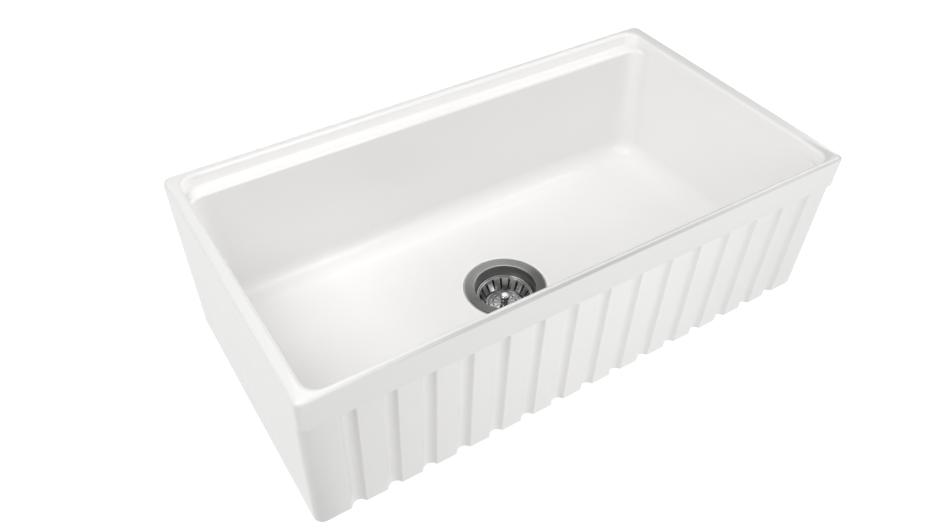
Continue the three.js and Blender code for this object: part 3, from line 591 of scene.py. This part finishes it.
def rounded_profile(corners, steps=6):
    """Corners are radius, level, rounding. Each is replaced by an arc that is tangent to both its
    sides, with one more point just beside each end to hold the flats flat."""
    table = np.array(corners, float)
    at, rounding = table[:, :2], table[:, 2]
    before = np.roll(at, 1, 0) - at
    after = np.roll(at, -1, 0) - at
    before /= np.linalg.norm(before, axis=1, keepdims=True)
    after /= np.linalg.norm(after, axis=1, keepdims=True)
    half = np.arccos(np.clip((before * after).sum(1), -1, 1)) / 2
    middle = (before + after) / np.linalg.norm(before + after, axis=1, keepdims=True)
    centre = at + middle * (rounding / np.sin(half))[:, None]
    reach = (rounding / np.tan(half))[:, None]
    first, last = at + before * reach - centre, at + after * reach - centre
    turn = (np.pi - 2 * half)[:, None, None]
    share = np.linspace(0, 1, steps)[None, :, None]
    arcs = np.sin((1 - share) * turn) * first[:, None] + np.sin(share * turn) * last[:, None]
    arcs = arcs / np.sin(turn) + centre[:, None]
    beside = PROFILE_BESIDE * rounding[:, None, None]
    start = arcs[:, :1] + before[:, None] * beside
    end = arcs[:, -1:] + after[:, None] * beside
    return np.concatenate([start, arcs, end], 1).reshape(-1, 2)


def round_drain(radius, angle, level):
    """Points at these radii and angles about the drain's axis, at these levels."""
    return np.stack([radius * np.cos(angle), radius * np.sin(angle) + DRAIN_Y, level], -1)


def spun(name, profile, slot, body, replaced, sides=ROUND, painted_shade=None):
    """Each profile point, radius and level, becomes a circle about the drain's axis. A painted shade
    may be given for each point of each circle."""
    angle = np.linspace(0, 2 * np.pi, sides, endpoint=False)
    radius, level = profile[:, :1], np.repeat(profile[:, 1:], sides, 1)
    grid = round_drain(radius, angle, level)
    painted_shades = None if painted_shade is None else np.broadcast_to(painted_shade, grid.shape[:2])
    piece = grid_piece(name, grid, painted_shades)
    finish_piece(piece, slot, body, replaced)
    return piece


def finish_piece(piece, slot, body, replaced):
    """Hides the node that the piece stands in for, gives the piece its finish slot and hangs it on its
    body.
    """
    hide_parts(replaced)
    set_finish(piece, slot)
    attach(piece, body)


def node_span(node):
    """Outer radius, lowest and highest level of a turned node, in millimetres."""
    low, high = (np.array(corner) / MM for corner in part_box(node))
    return (high[0] - low[0]) / 2, low[2], high[2]


# %% [markdown]
# The strainer's flange and cup are one pressing. The flange turns down into the cup over a tight
# bend, the wall narrows a little, and the bowl closes in on the outlet.

# %% The strainer cup
CUP_WALL = 1.3
CUP_STEPS = 9
LIP_R = 50.1
LIP_ROUND = 1.9
CUP_MOUTH_R = 48.2
CUP_R = 45.8
TAPER_END = FLOOR_Z - 20
CUP_BOWL = 12
OUTLET_R = 19.5
cup_r, cup_low, cup_top = node_span("strainer_cup")
cup_floor = cup_low + CUP_WALL
cup_profile = rounded_profile(
    [
        (OUTLET_R, cup_low, 0.2),
        (CUP_R + CUP_WALL, cup_low, CUP_BOWL + CUP_WALL),
        (CUP_R + CUP_WALL, TAPER_END, 4),
        (CUP_MOUTH_R + CUP_WALL, cup_top - CUP_WALL - 0.2, 0.4),
        (cup_r - 0.1, cup_top - CUP_WALL, 0.3),
        (cup_r - 0.1, cup_top - 0.5, 0.3),
        (cup_r - 1.6, cup_top, 0.6),
        (LIP_R - LIP_ROUND, cup_top, LIP_ROUND),
        (CUP_R, TAPER_END, 4),
        (CUP_R, cup_floor, CUP_BOWL),
        (OUTLET_R, cup_floor, 0.4),
    ],
    steps=CUP_STEPS,
)
print("cup", round(cup_top - cup_low, 1), "deep")

# %% The cup's painted light and shade: bright at the flange's back, dark towards its front and down in the cup
FLANGE_SHADE, FLANGE_FRONT = 0.21, 0.46
LIP_FRONT, LIP_POWER = 0.6, 1.3
OUTSIDE_SHADE = (0.5, 0.5, 0.3, 0.3)  # at the first four corners, up to the flange
INSIDE_SHADE = (0.1, 0.3, 0.5)  # at the last three, down from the lip
CORNER_POINTS = CUP_STEPS + 2
turned_away = 1 - np.clip(np.sin(np.linspace(0, 2 * np.pi, ROUND, endpoint=False)), 0, 1)
flange_shade = FLANGE_SHADE + FLANGE_FRONT * turned_away
lip_shade = LIP_FRONT * turned_away**LIP_POWER
corner_shade = [np.full(ROUND, value) for value in OUTSIDE_SHADE]
corner_shade += [flange_shade] * 3
lip_row = len(corner_shade) * CORNER_POINTS
corner_shade += [lip_shade] + [np.full(ROUND, value) for value in INSIDE_SHADE]
cup_shade = np.repeat(corner_shade, CORNER_POINTS, axis=0)
cup_shade[lip_row] = flange_shade
spun("strainer_pressing", cup_profile, "brushed_steel", "sink", "strainer_cup", painted_shade=cup_shade)

# %% [markdown]
# The basket is thinner sheet with a rolled rim, eighteen radial slots in its sloping wall and a
# raised middle with a ring of small holes. The slots and holes are cut with one set of cutters.

# %% The basket, before its slots
BASKET_WALL = 1.1
RIM_ROLL = 1.25
FOOT_R = 29.5
DISC_R = 26
POST_HOLE_R = 4.3
DISC_SHADE = 0.55
basket_r, basket_low, basket_top = node_span("basket_cup")
groove_z = basket_low + BASKET_WALL
disc_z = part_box("basket_knob")[0].z / MM - 0.3
basket_corners = [
    (POST_HOLE_R, disc_z - BASKET_WALL, 0.1),
    (DISC_R - BASKET_WALL, disc_z - BASKET_WALL, 0.8),
    (DISC_R - BASKET_WALL, basket_low, 0.4),
    (FOOT_R + 0.6, basket_low, 1.5),
    (basket_r - 1.6, basket_top - 3, 0.3),
    (basket_r, basket_top - 2.4, 0.5),
    (basket_r, basket_top, RIM_ROLL),
    (basket_r - 2.4, basket_top, 0.9),
    (basket_r - 3.0, basket_top - 2.2, 0.5),
    (basket_r - 4.6, basket_top - 2.6, 0.6),
    (FOOT_R, groove_z, 0.8),
    (DISC_R, groove_z, 0.4),
    (DISC_R, disc_z, 1.1),
    (POST_HOLE_R, disc_z, 0.3),
]
basket_profile = rounded_profile(basket_corners)
# only the last two corners, the top of the raised disc, get a painted shade, darker than the finish
corner_shade = [[0.0]] * (len(basket_corners) - 2) + [[DISC_SHADE]] * 2
basket_shade = np.repeat(corner_shade, len(basket_profile) // len(basket_corners), axis=0)
print("basket", round(basket_r, 1), "in radius, with its disc at", round(disc_z, 1))

# %% Cutters for the slots and the holes
SLOTS = 18
SLOT_TURN = np.radians(6)
SLOT_IN, SLOT_OUT = 31.0, 40.5
SLOT_IN_WIDTH, SLOT_OUT_WIDTH = 2.2, 3.6
HOLES = 12
HOLE_R = 1.6
HOLE_CIRCLE = 18.5
CUT_FROM, SLOT_TO, HOLE_TO = basket_low - 6, basket_top - 2.6, disc_z + 3


def slot_outline(points=12):
    """A slot along +X: two round ends of different width, joined by straight sides."""
    turn = np.linspace(-np.pi / 2, np.pi / 2, points)
    wide, narrow = SLOT_OUT_WIDTH / 2, SLOT_IN_WIDTH / 2
    outer_end = np.stack([SLOT_OUT + wide * (np.cos(turn) - 1), wide * np.sin(turn)], -1)
    inner_end = np.stack([SLOT_IN + narrow * (1 - np.cos(turn)), -narrow * np.sin(turn)], -1)
    return np.concatenate([outer_end, inner_end])


def hole_outline(points=24):
    """A circle of the holes' radius, out along +X by the radius of their circle."""
    turn = np.linspace(0, 2 * np.pi, points, endpoint=False)
    return np.stack([HOLE_CIRCLE + HOLE_R * np.cos(turn), HOLE_R * np.sin(turn)], -1)


def cutters(outline, count, start, low, high):
    """Copies of an upright prism turned round the drain: bottom ring, top ring, and a centre point
    for each end."""
    angle = start + np.arange(count) * 2 * np.pi / count
    ring_xy = np.vstack([outline, outline.mean(0)])
    x = ring_xy[:, 0] * np.cos(angle)[:, None] - ring_xy[:, 1] * np.sin(angle)[:, None]
    y = ring_xy[:, 0] * np.sin(angle)[:, None] + ring_xy[:, 1] * np.cos(angle)[:, None] + DRAIN_Y
    points = np.stack([np.stack([x, y, np.full(x.shape, z)], -1) for z in (low, high)], 1)
    n = len(outline)
    this, after, middle = np.arange(n), np.roll(np.arange(n), -1), np.full(n, n)
    up = n + 1
    side = np.stack([this, after, after + up, this + up], -1)
    bottom_lid = np.stack([after, this, middle, after], -1)
    top_lid = np.stack([this + up, after + up, middle + up, this + up], -1)
    faces = np.concatenate([side, bottom_lid, top_lid])
    faces = (faces[None] + (np.arange(count) * 2 * up)[:, None, None]).reshape(-1, 4)
    return points.reshape(-1, 3), faces


def cut(piece, points, faces):
    """Cuts the prisms out of the piece, and keeps its edges crisp afterwards."""
    triangles = [tuple(dict.fromkeys(face)) for face in faces.tolist()]
    tool_mesh = bpy.data.meshes.new("cutter")
    tool_mesh.from_pydata((points * MM).tolist(), [], triangles)
    tool = bpy.data.objects.new("cutter", tool_mesh)
    bpy.context.scene.collection.objects.link(tool)
    modifier = piece.modifiers.new("cut", "BOOLEAN")
    modifier.object = tool
    modifier.solver = "EXACT"
    result = bpy.data.meshes.new_from_object(piece.evaluated_get(bpy.context.evaluated_depsgraph_get()))
    piece.modifiers.clear()
    piece.data = result
    result.set_sharp_from_angle(angle=SMOOTH_ANGLE)
    bpy.data.objects.remove(tool)
    print(piece.name, "after cutting has", len(result.polygons), "faces")


basket = spun(
    "basket_pressing", basket_profile, "polished_steel", "basket", "basket_cup", painted_shade=basket_shade
)
cut(basket, *cutters(slot_outline(), SLOTS, SLOT_TURN, CUT_FROM, SLOT_TO))
cut(basket, *cutters(hole_outline(), HOLES, np.pi / HOLES, CUT_FROM, HOLE_TO))

# %% The knob on the basket
knob_r, knob_low, knob_top = node_span("basket_knob")
KNOB_NECK = 5.6
KNOB_SIDES = 96
knob_profile = rounded_profile(
    [
        (POST_HOLE_R, knob_low, 0),
        (KNOB_NECK + 1, knob_low, 0.3),
        (KNOB_NECK, knob_low + 1.4, 0.5),
        (KNOB_NECK - 0.4, knob_low + 6, 1.5),
        (knob_r, knob_low + 9.5, 2.0),
        (knob_r, knob_top, 2.6),
        (0, knob_top, 0),
        (0, knob_top - 4, 0),
        (POST_HOLE_R, knob_top - 4, 0),
    ]
)
spun("basket_handle", knob_profile, "polished_steel", "basket", "basket_knob", sides=KNOB_SIDES)

# %% [markdown]
# Under the floor a nut on the cup's thread pulls the flange down on its seal. Below the cup stand
# the outlet and the tailpiece with their coupling nut. Washers and gaskets are rings with soft edges.
# The post, its clip and its guide are small and plain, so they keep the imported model's surface.

# %% Seals, washers and gaskets
CLEARANCE = 0.3
THREAD_R = CUP_R + CUP_WALL
POST_R = 4
TAIL_R, TAIL_WALL = 19.05, 1.1
RING_SIDES = 128


def flat_ring(name, replaced, inner_r, slot, rounding=0.3, body="sink"):
    """A ring as wide and as high as its node, with a square section and rounded edges."""
    outer_r, low, high = node_span(replaced)
    square = ((inner_r, low), (outer_r, low), (outer_r, high), (inner_r, high))
    profile = rounded_profile([(*corner, rounding) for corner in square])
    spun(name, profile, slot, body, replaced, sides=RING_SIDES)


flat_ring("seal_under_flange", "flange_seal", DRAIN_HOLE_R + DRAIN_EDGE, "black_rubber")
flat_ring("gasket_under_base", "base_gasket", THREAD_R + CLEARANCE, "black_rubber", rounding=0.6)
flat_ring("slip_ring", "friction_ring", THREAD_R + CLEARANCE, "fibre")
flat_ring("tail_seal", "tailpiece_washer", TAIL_R - TAIL_WALL, "white_plastic", rounding=0.4)
flat_ring("steel_washer", "stopper_washer", POST_R + CLEARANCE, "plain_steel", 0.2, "basket")

# %% The outlet with its thread
THREAD_PITCH = 2.3
THREAD_DEPTH = 0.8
THREAD_SIDES, PITCH_ROWS = 96, 8
THREAD_START, THREAD_STOP = 0.6, 0.4
BORE_EDGE, FOOT_CHAMFER, FLANGE_EDGE = 0.4, 0.5, 0.3
FERRULE_THREAD_R = 23.2
FERRULE_FLANGE = 2


def threaded(name, inner_r, thread_r, shoulder, replaced, slot):
    """A pipe with an outside thread below a shoulder. At height z and angle a the thread's radius is
    thread_r less the depth times a triangle wave of z / pitch - a / 2 pi, so the ridge climbs one
    pitch a turn. The wave fades out over the first and the last pitch."""
    outer_r, low, high = node_span(replaced)
    angle = np.linspace(0, 2 * np.pi, THREAD_SIDES, endpoint=False)
    first, last = low + THREAD_START, shoulder - THREAD_STOP
    level = np.linspace(first, last, int((shoulder - low) / THREAD_PITCH * PITCH_ROWS))[:, None]
    wave = 2 * np.abs((level / THREAD_PITCH - angle / (2 * np.pi)) % 1 - 0.5)
    fade = np.clip(np.minimum(level - first, last - level) / THREAD_PITCH, 0, 1)
    ridge = thread_r - THREAD_DEPTH * ((1 - fade) + fade * wave)
    root_r = thread_r - THREAD_DEPTH
    below = [(inner_r, low + BORE_EDGE), (inner_r + BORE_EDGE, low)]
    below = np.array([*below, (root_r - FOOT_CHAMFER, low), (root_r, low + FOOT_CHAMFER)])
    above = [(root_r, shoulder), (outer_r - FLANGE_EDGE, shoulder), (outer_r, shoulder + FLANGE_EDGE)]
    above += [(outer_r, high - FLANGE_EDGE), (outer_r - FLANGE_EDGE, high)]
    above = np.array([*above, (inner_r + BORE_EDGE, high), (inner_r, high - BORE_EDGE)])
    flat = np.zeros(len(angle))
    radius = np.concatenate([below[:, :1] + flat, ridge, above[:, :1] + flat])
    height = np.concatenate([below[:, 1:] + flat, level + flat, above[:, 1:] + flat])
    finish_piece(grid_piece(name, round_drain(radius, angle, height)), slot, "sink", replaced)


ferrule_top = node_span("outlet_ferrule")[2]
thread_top = ferrule_top - FERRULE_FLANGE
threaded("threaded_outlet", OUTLET_R, FERRULE_THREAD_R, thread_top, "outlet_ferrule", "brass")

# %% The tailpiece
TAIL_FLANGE = 1.3
tail_flange_r, tail_low, tail_top = node_span("tailpiece")
tail_profile = [
    (TAIL_R - TAIL_WALL, tail_low, 0.3),
    (TAIL_R, tail_low, 0.3),
    (TAIL_R, tail_top - TAIL_FLANGE, 0.4),
    (tail_flange_r, tail_top - TAIL_FLANGE, 0.4),
    (tail_flange_r, tail_top, 0.4),
    (TAIL_R - TAIL_WALL, tail_top, 0.4),
]
spun("tail_pipe", rounded_profile(tail_profile), "brushed_steel", "sink", "tailpiece")

# %% Outlines of the nuts, and a nut from its outline
NUT_EDGE, NUT_BORE_EDGE = 0.8, 0.6
GRIP_START, GRIP_SLOPE = 0.55, 0.08
NUT_COLUMNS = 360
around = np.linspace(0, 2 * np.pi, NUT_COLUMNS, endpoint=False)


def grips(ring_r, outer_r, count):
    """A ring's outline with raised grips: at share t of one grip's turn the radius follows a smooth
    step, 3 t^2 - 2 t^3, from the ring up to the grip and back."""
    turn = around * count / (2 * np.pi) % 1
    rise = np.clip((turn - GRIP_START) / GRIP_SLOPE, 0, 1) * np.clip((1 - turn) / GRIP_SLOPE, 0, 1)
    return ring_r + (outer_r - ring_r) * rise * rise * (3 - 2 * rise)


def hexagon(corner_r):
    """A hexagon's outline: its half width over the cosine of the angle from the nearest flat."""
    return corner_r * np.cos(np.pi / 6) / np.cos((around + np.pi / 6) % (np.pi / 3) - np.pi / 6)


def nut(name, replaced, outline, bores, slot, body="sink"):
    """A nut between its outline and its bores. The bores are radius, level pairs from the top of the
    hole to its foot. The outside's upper and lower edges are quarter rounds."""
    low, high = node_span(replaced)[1:]
    edge = rounded_edge(NUT_EDGE, 5)
    nut_rows = [(outline - inset, low + up) for up, inset in edge[::-1]]
    nut_rows += [(outline - inset, high - down) for down, inset in edge]
    nut_rows += [(np.full(NUT_COLUMNS, radius), level) for radius, level in bores]
    radius = np.stack([row for row, _ in nut_rows])
    level = np.repeat([[z] for _, z in nut_rows], NUT_COLUMNS, 1)
    finish_piece(grid_piece(name, round_drain(radius, around, level)), slot, body, replaced)


def straight_bore(replaced, radius, edge=NUT_BORE_EDGE):
    """The bore of a nut: straight, with a chamfer at its top and its foot."""
    low, high = node_span(replaced)[1:]
    return [(radius + edge, high), (radius, high - edge), (radius, low + edge), (radius + edge, low)]


# %% The locknut and the coupling nut
LOCKNUT_R, LOCKNUT_GRIP_R, LOCKNUT_GRIPS = 55.5, 61, 6
COUPLING_R, COUPLING_GRIP_R, COUPLING_GRIPS = 28, 30, 8
COUPLING_LIP = 2.4  # under the tailpiece's flange
NECK_CHAMFER = 0.5
lugs = grips(LOCKNUT_R, LOCKNUT_GRIP_R, LOCKNUT_GRIPS)
nut("big_locknut", "locknut", lugs, straight_bore("locknut", THREAD_R + CLEARANCE), "cast_zinc")
nut_low, nut_high = node_span("coupling_nut")[1:]
lip = nut_low + COUPLING_LIP
mouth_r, neck_r = FERRULE_THREAD_R + CLEARANCE, TAIL_R + CLEARANCE
coupling_bores = [(mouth_r + NUT_BORE_EDGE, nut_high), (mouth_r, nut_high - NUT_BORE_EDGE)]
coupling_bores += [(mouth_r, lip), (neck_r, lip)]
coupling_bores += [(neck_r, nut_low + NECK_CHAMFER), (neck_r + NECK_CHAMFER, nut_low)]
ribs = grips(COUPLING_R, COUPLING_GRIP_R, COUPLING_GRIPS)
nut("ribbed_coupling", "coupling_nut", ribs, coupling_bores, "cast_zinc")

# %% The rubber stopper under the basket, and the nut that holds it
STOPPER_HUB, STOPPER_HUB_R, STOPPER_DISC = 4, 10, 3
HEXAGON_R = 7.2
stopper_r, stopper_low, stopper_top = node_span("stopper")
disc_top = stopper_top - STOPPER_HUB
disc_low = disc_top - STOPPER_DISC
stopper_profile = [
    (POST_R + CLEARANCE, disc_low, 0.3),
    (stopper_r - 5, disc_low, 1.0),
    (stopper_r - 2.5, stopper_low, 0.5),
    (stopper_r, stopper_low, 0.5),
    (stopper_r - 0.8, disc_top, 1.4),
    (STOPPER_HUB_R, disc_top, 0.8),
    (STOPPER_HUB_R, stopper_top, 0.8),
    (POST_R + CLEARANCE, stopper_top, 0.3),
]
spun("rubber_stopper", rounded_profile(stopper_profile), "black_rubber", "basket", "stopper")
post_bore = straight_bore("stopper_nut", POST_R + CLEARANCE, 0.3)
nut("hexagon_nut", "stopper_nut", hexagon(HEXAGON_R), post_bore, "plain_steel", "basket")

# %% [markdown]
# ## Finishes
# Each finish is a set of nodes on the piece's own coordinates, so it stays with the piece when the
# basket is lifted. The glaze is the important one: almost white, a little warm, with a soft gloss
# that varies, because a glaze is thicker in some places than in others.

# %% Helpers for node materials
def new_material(name, color, roughness, metallic=0.0):
    """A material whose shader holds the plain values. Returns it with its node tree and shader."""
    material = bpy.data.materials.new(name)
    material.use_nodes = True
    tree = material.node_tree
    shader = tree.nodes["Principled BSDF"]
    set_inputs(shader, {"Base Color": (*color, 1), "Roughness": roughness, "Metallic": metallic})
    return material, tree, shader


def set_inputs(node, inputs):
    """Gives each named input its plain value, or a link from another node's output."""
    for name, value in inputs.items():
        if isinstance(value, bpy.types.NodeSocket):
            node.id_data.links.new(value, node.inputs[name])
        else:
            node.inputs[name].default_value = value


def add_node(tree, kind, inputs=(), **settings):
    """A new node with its settings and its inputs."""
    node = tree.nodes.new("ShaderNode" + kind)
    for name, value in settings.items():
        setattr(node, name, value)
    set_inputs(node, dict(inputs))
    return node


def noise(tree, scale, detail=3.0):
    """Noise on the piece's own coordinates."""
    place = add_node(tree, "TexCoord").outputs["Object"]
    texture = add_node(tree, "TexNoise", {"Vector": place, "Scale": scale, "Detail": detail})
    return texture.outputs["Fac"]


def rings(tree, scale, centre_y):
    """Noise that only changes with the distance from the drain's axis and with height, as the marks
    of a brush held against a spinning piece do."""
    place = add_node(tree, "TexCoord").outputs["Object"]
    shift = add_node(tree, "Mapping", {"Vector": place, "Location": (0, -centre_y, 0)})
    parts = add_node(tree, "SeparateXYZ", {"Vector": shift.outputs["Vector"]}).outputs
    flat = add_node(tree, "CombineXYZ", {"X": parts["X"], "Y": parts["Y"]})
    length = add_node(tree, "VectorMath", {0: flat.outputs["Vector"]}, operation="LENGTH")
    both = add_node(tree, "CombineXYZ", {"X": length.outputs["Value"], "Z": parts["Z"]})
    grain = {"Vector": both.outputs["Vector"], "Scale": scale, "Detail": 4}
    return add_node(tree, "TexNoise", grain).outputs["Fac"]


def spread(tree, value, low, high):
    """Turns a noise value into a range of numbers."""
    return add_node(tree, "MapRange", {"Value": value, "To Min": low, "To Max": high}).outputs["Result"]


def tint(tree, value, dark, light):
    """Mixes two colours by a noise value."""
    colors = {"Factor": value, "A": (*dark, 1), "B": (*light, 1)}
    return add_node(tree, "Mix", colors, data_type="RGBA").outputs["Result"]


def with_painted_shade(tree, color):
    """Darkens a colour by the piece's painted shade. A piece that has none keeps its colour."""
    painted_shade = add_node(tree, "Attribute", attribute_name="painted_shade").outputs["Fac"]
    colors = {"Factor": painted_shade, "A": color, "B": (0, 0, 0, 1)}
    return add_node(tree, "Mix", colors, data_type="RGBA").outputs["Result"]


def bump(tree, value, strength, distance):
    """A normal that makes the surface look raised where the value is high."""
    raised = add_node(tree, "Bump", {"Height": value, "Strength": strength, "Distance": distance})
    return raised.outputs["Normal"]


# %% The white glaze
GLAZE_THIN, GLAZE_THICK = (0.912, 0.906, 0.895), (0.928, 0.922, 0.912)
CLOUDS, GLOSS_PATCHES, WAVES = 7, 22, 60  # scales of the noise in the colour, gloss and surface
glaze, tree, shader = new_material("white_glaze", GLAZE_THICK, 0.3)
# the glaze's colour: its own clouds of tone, darkened by the body's painted shade
glaze_inputs = {
    "Base Color": with_painted_shade(tree, tint(tree, noise(tree, CLOUDS), GLAZE_THIN, GLAZE_THICK)),
    "Roughness": spread(tree, noise(tree, GLOSS_PATCHES), 0.26, 0.36),
    "Coat Weight": 0.25,
    "Coat Roughness": 0.18,
    "Normal": bump(tree, noise(tree, WAVES, 2), strength=0.12, distance=0.0006),
}
set_inputs(shader, glaze_inputs)
print("glaze:", glaze.name)

# %% The metals
METAL_PATCHES, RING_DEPTH = 90, 0.0001


def turned_metal(name, dark, light, rough, ring_scale, grain=0.2, anisotropy=0.0):
    """A metal with the fine rings of turning or brushing, between a dark and a light tone. Brushed
    metal is anisotropic too: its highlights stretch across the rings."""
    material, tree, shader = new_material(name, light, rough[0], 1.0)
    marks = rings(tree, ring_scale, DRAIN_Y * MM)
    # the rings' tone, darkened by the piece's painted shade where it has one
    color = with_painted_shade(tree, tint(tree, marks, dark, light))
    roughness = spread(tree, noise(tree, METAL_PATCHES), *rough)
    normal = bump(tree, marks, grain, RING_DEPTH)
    set_inputs(shader, {"Base Color": color, "Roughness": roughness, "Normal": normal})
    if anisotropy:
        way = add_node(tree, "Tangent", direction_type="RADIAL", axis="Z").outputs["Tangent"]
        set_inputs(shader, {"Anisotropic": anisotropy, "Tangent": way})
    return material


brushed_steel = turned_metal(
    "brushed_steel", (0.4, 0.4, 0.395), (0.7, 0.7, 0.69), (0.3, 0.42), 550, anisotropy=0.75
)
polished_steel = turned_metal("polished_steel", (0.38, 0.38, 0.38), (0.5, 0.5, 0.5), (0.12, 0.22), 500, 0.1)
plain_steel = turned_metal("plain_steel", (0.33, 0.33, 0.32), (0.42, 0.42, 0.41), (0.25, 0.35), 300, 0.1)
cast_zinc = turned_metal("cast_zinc", (0.28, 0.28, 0.275), (0.38, 0.38, 0.37), (0.45, 0.6), 60, 0.3)
brass = turned_metal("brass", (0.40, 0.25, 0.06), (0.52, 0.34, 0.1), (0.25, 0.4), 400, 0.15)
print("brushed steel has", len(brushed_steel.node_tree.nodes), "nodes")

# %% Rubber, fibre and plastic
DULL_RANGE, DULL_BUMP = 0.08, 0.4


def dull(name, dark, light, roughness, scale, depth):
    """A dull finish whose colour, roughness and surface all follow one fine noise."""
    material, tree, shader = new_material(name, light, roughness)
    grain = noise(tree, scale, 6)
    color = tint(tree, grain, dark, light)
    rough = spread(tree, grain, roughness - DULL_RANGE, roughness + DULL_RANGE)
    normal = bump(tree, grain, DULL_BUMP, depth)
    set_inputs(shader, {"Base Color": color, "Roughness": rough, "Normal": normal})
    return material


black_rubber = dull("black_rubber", (0.009, 0.009, 0.01), (0.016, 0.016, 0.017), 0.7, 250, 0.0002)
fibre = dull("pressed_fibre", (0.24, 0.15, 0.075), (0.36, 0.24, 0.13), 0.88, 900, 0.0003)
white_plastic = dull("white_plastic", (0.74, 0.74, 0.71), (0.8, 0.8, 0.77), 0.45, 120, 0.0001)

FINISH = {
    "glazed_fireclay": glaze,
    "brushed_steel": brushed_steel,
    "polished_steel": polished_steel,
    "plain_steel": plain_steel,
    "cast_zinc": cast_zinc,
    "brass": brass,
    "black_rubber": black_rubber,
    "fibre": fibre,
    "white_plastic": white_plastic,
}

# %% Dress every piece: by its slot, or by the record's slot for a node
node_slot = {part["node"]: part["material_slot"] for part in frame["record"]["subparts"]}


def dress(piece, slot):
    """Gives a piece the one finish that its slot names."""
    piece.data.materials.clear()
    piece.data.materials.append(FINISH[slot])


for name, node in frame["nodes"].items():
    dress(node, node_slot[name])
for piece in bpy.context.scene.objects:
    if piece.type == "MESH" and piece.get("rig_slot"):
        dress(piece, piece["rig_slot"])
print("finishes:", ", ".join(sorted(FINISH)))

# %% [markdown]
# ## The studio
# The photograph is a white product on a white ground under large soft lights. The floor is white to
# the camera and to reflections, and a plain pale floor to the light that it sends back, so the
# ground is white without the sink being overlit.

# %% Floor
FLOOR_LEVEL = cad_box[0][2] - 0.0005
FLOOR_HALF = 6.0
SQUARE = ((-1, -1), (1, -1), (1, 1), (-1, 1))
floor_mesh = bpy.data.meshes.new("studio_floor")
floor_corners = [(x * FLOOR_HALF, y * FLOOR_HALF, FLOOR_LEVEL) for x, y in SQUARE]
floor_mesh.from_pydata(floor_corners, [], [(0, 1, 2, 3)])
studio_floor = bpy.data.objects.new("studio_floor", floor_mesh)
bpy.context.scene.collection.objects.link(studio_floor)
print("floor at", round(FLOOR_LEVEL, 4))

# %% The ground: white where it is seen, and pale where it sends light back
GROUND_GREY, SEEN_GREY, SEEN_GLOW = 0.6, 0.2, 0.9
ground, tree, shader = new_material("studio_ground", (GROUND_GREY, GROUND_GREY, GROUND_GREY), 0.9)
seen = add_node(tree, "LightPath").outputs
rays = {0: seen["Is Camera Ray"], 1: seen["Is Glossy Ray"]}
either = add_node(tree, "Math", rays, operation="MAXIMUM")
white = add_node(tree, "Emission", {"Strength": SEEN_GLOW})
soft = add_node(tree, "BsdfDiffuse", {"Color": (SEEN_GREY, SEEN_GREY, SEEN_GREY, 1)})
both = add_node(tree, "AddShader", {0: white.outputs[0], 1: soft.outputs[0]})
faces = {"Fac": either.outputs[0], 1: shader.outputs[0], 2: both.outputs[0]}
choice = add_node(tree, "MixShader", faces)
set_inputs(tree.nodes["Material Output"], {"Surface": choice.outputs[0]})
floor_mesh.materials.append(ground)

# %% World: an even light from all round, which the camera sees as white
WORLD_LIGHT = 0.39
WHITE = (1, 1, 1, 1)
world = bpy.data.worlds.new("studio")
world.use_nodes = True
bpy.context.scene.world = world
tree = world.node_tree
light_background = tree.nodes["Background"]
set_inputs(light_background, {"Color": WHITE, "Strength": WORLD_LIGHT})
seen_background = add_node(tree, "Background", {"Color": WHITE})
seen = add_node(tree, "LightPath").outputs["Is Camera Ray"]
backgrounds = {"Fac": seen, 1: light_background.outputs[0], 2: seen_background.outputs[0]}
choice = add_node(tree, "MixShader", backgrounds)
set_inputs(tree.nodes["World Output"], {"Surface": choice.outputs[0]})
print("world light:", WORLD_LIGHT)

# %% [markdown]
# Large soft lamps stand all round the sink, and the strongest is high on the left. One small lamp
# stands where the drain mirrors it towards the camera, for the points of light on the knob.

# %% Lamps: name, place, size in metres, watts
LIT_POINT = (0, 0, 0.1)
LAMPS = (
    ("overhead", (0.0, 0.2, 2.6), 2.4, 2.5),
    ("high_left", (-1.3, -0.1, 2.0), 1.0, 19.5),
    ("high_right", (1.5, 0.1, 1.7), 1.0, 8),
    ("high_front", (0.2, -1.6, 2.0), 1.0, 6),
    ("front", (0.2, -2.2, 0.9), 1.2, 4.5),
    ("near_front", (0.2, -1.1, 0.8), 0.5, 3.7),
    ("left", (-2.2, 0.3, 0.9), 1.2, 6),
    ("behind", (0.3, 2.1, 0.9), 1.2, 4),
    ("sparkle", (0.82, 1.3, 1.55), 0.22, 0.6),
    ("right", (2.2, 0.2, 0.7), 1.2, 14),
)


def lamp(name, at, size, power):
    """A square soft light that faces the lit point: tipped over by its angle from straight down,
    and turned to its heading."""
    data = bpy.data.lights.new(name, "AREA")
    data.size = size
    data.energy = power
    light = bpy.data.objects.new(name, data)
    light.location = at
    x, y, z = np.array(LIT_POINT, float) - np.array(at, float)
    tilt, heading = np.arctan2(np.hypot(x, y), -z), np.arctan2(y, x) - np.pi / 2
    light.rotation_euler = Euler((tilt, 0, heading))
    bpy.context.scene.collection.objects.link(light)


for row in LAMPS:
    lamp(*row)
bpy.context.scene.view_settings.view_transform = "Standard"
print("lamps:", len(LAMPS))
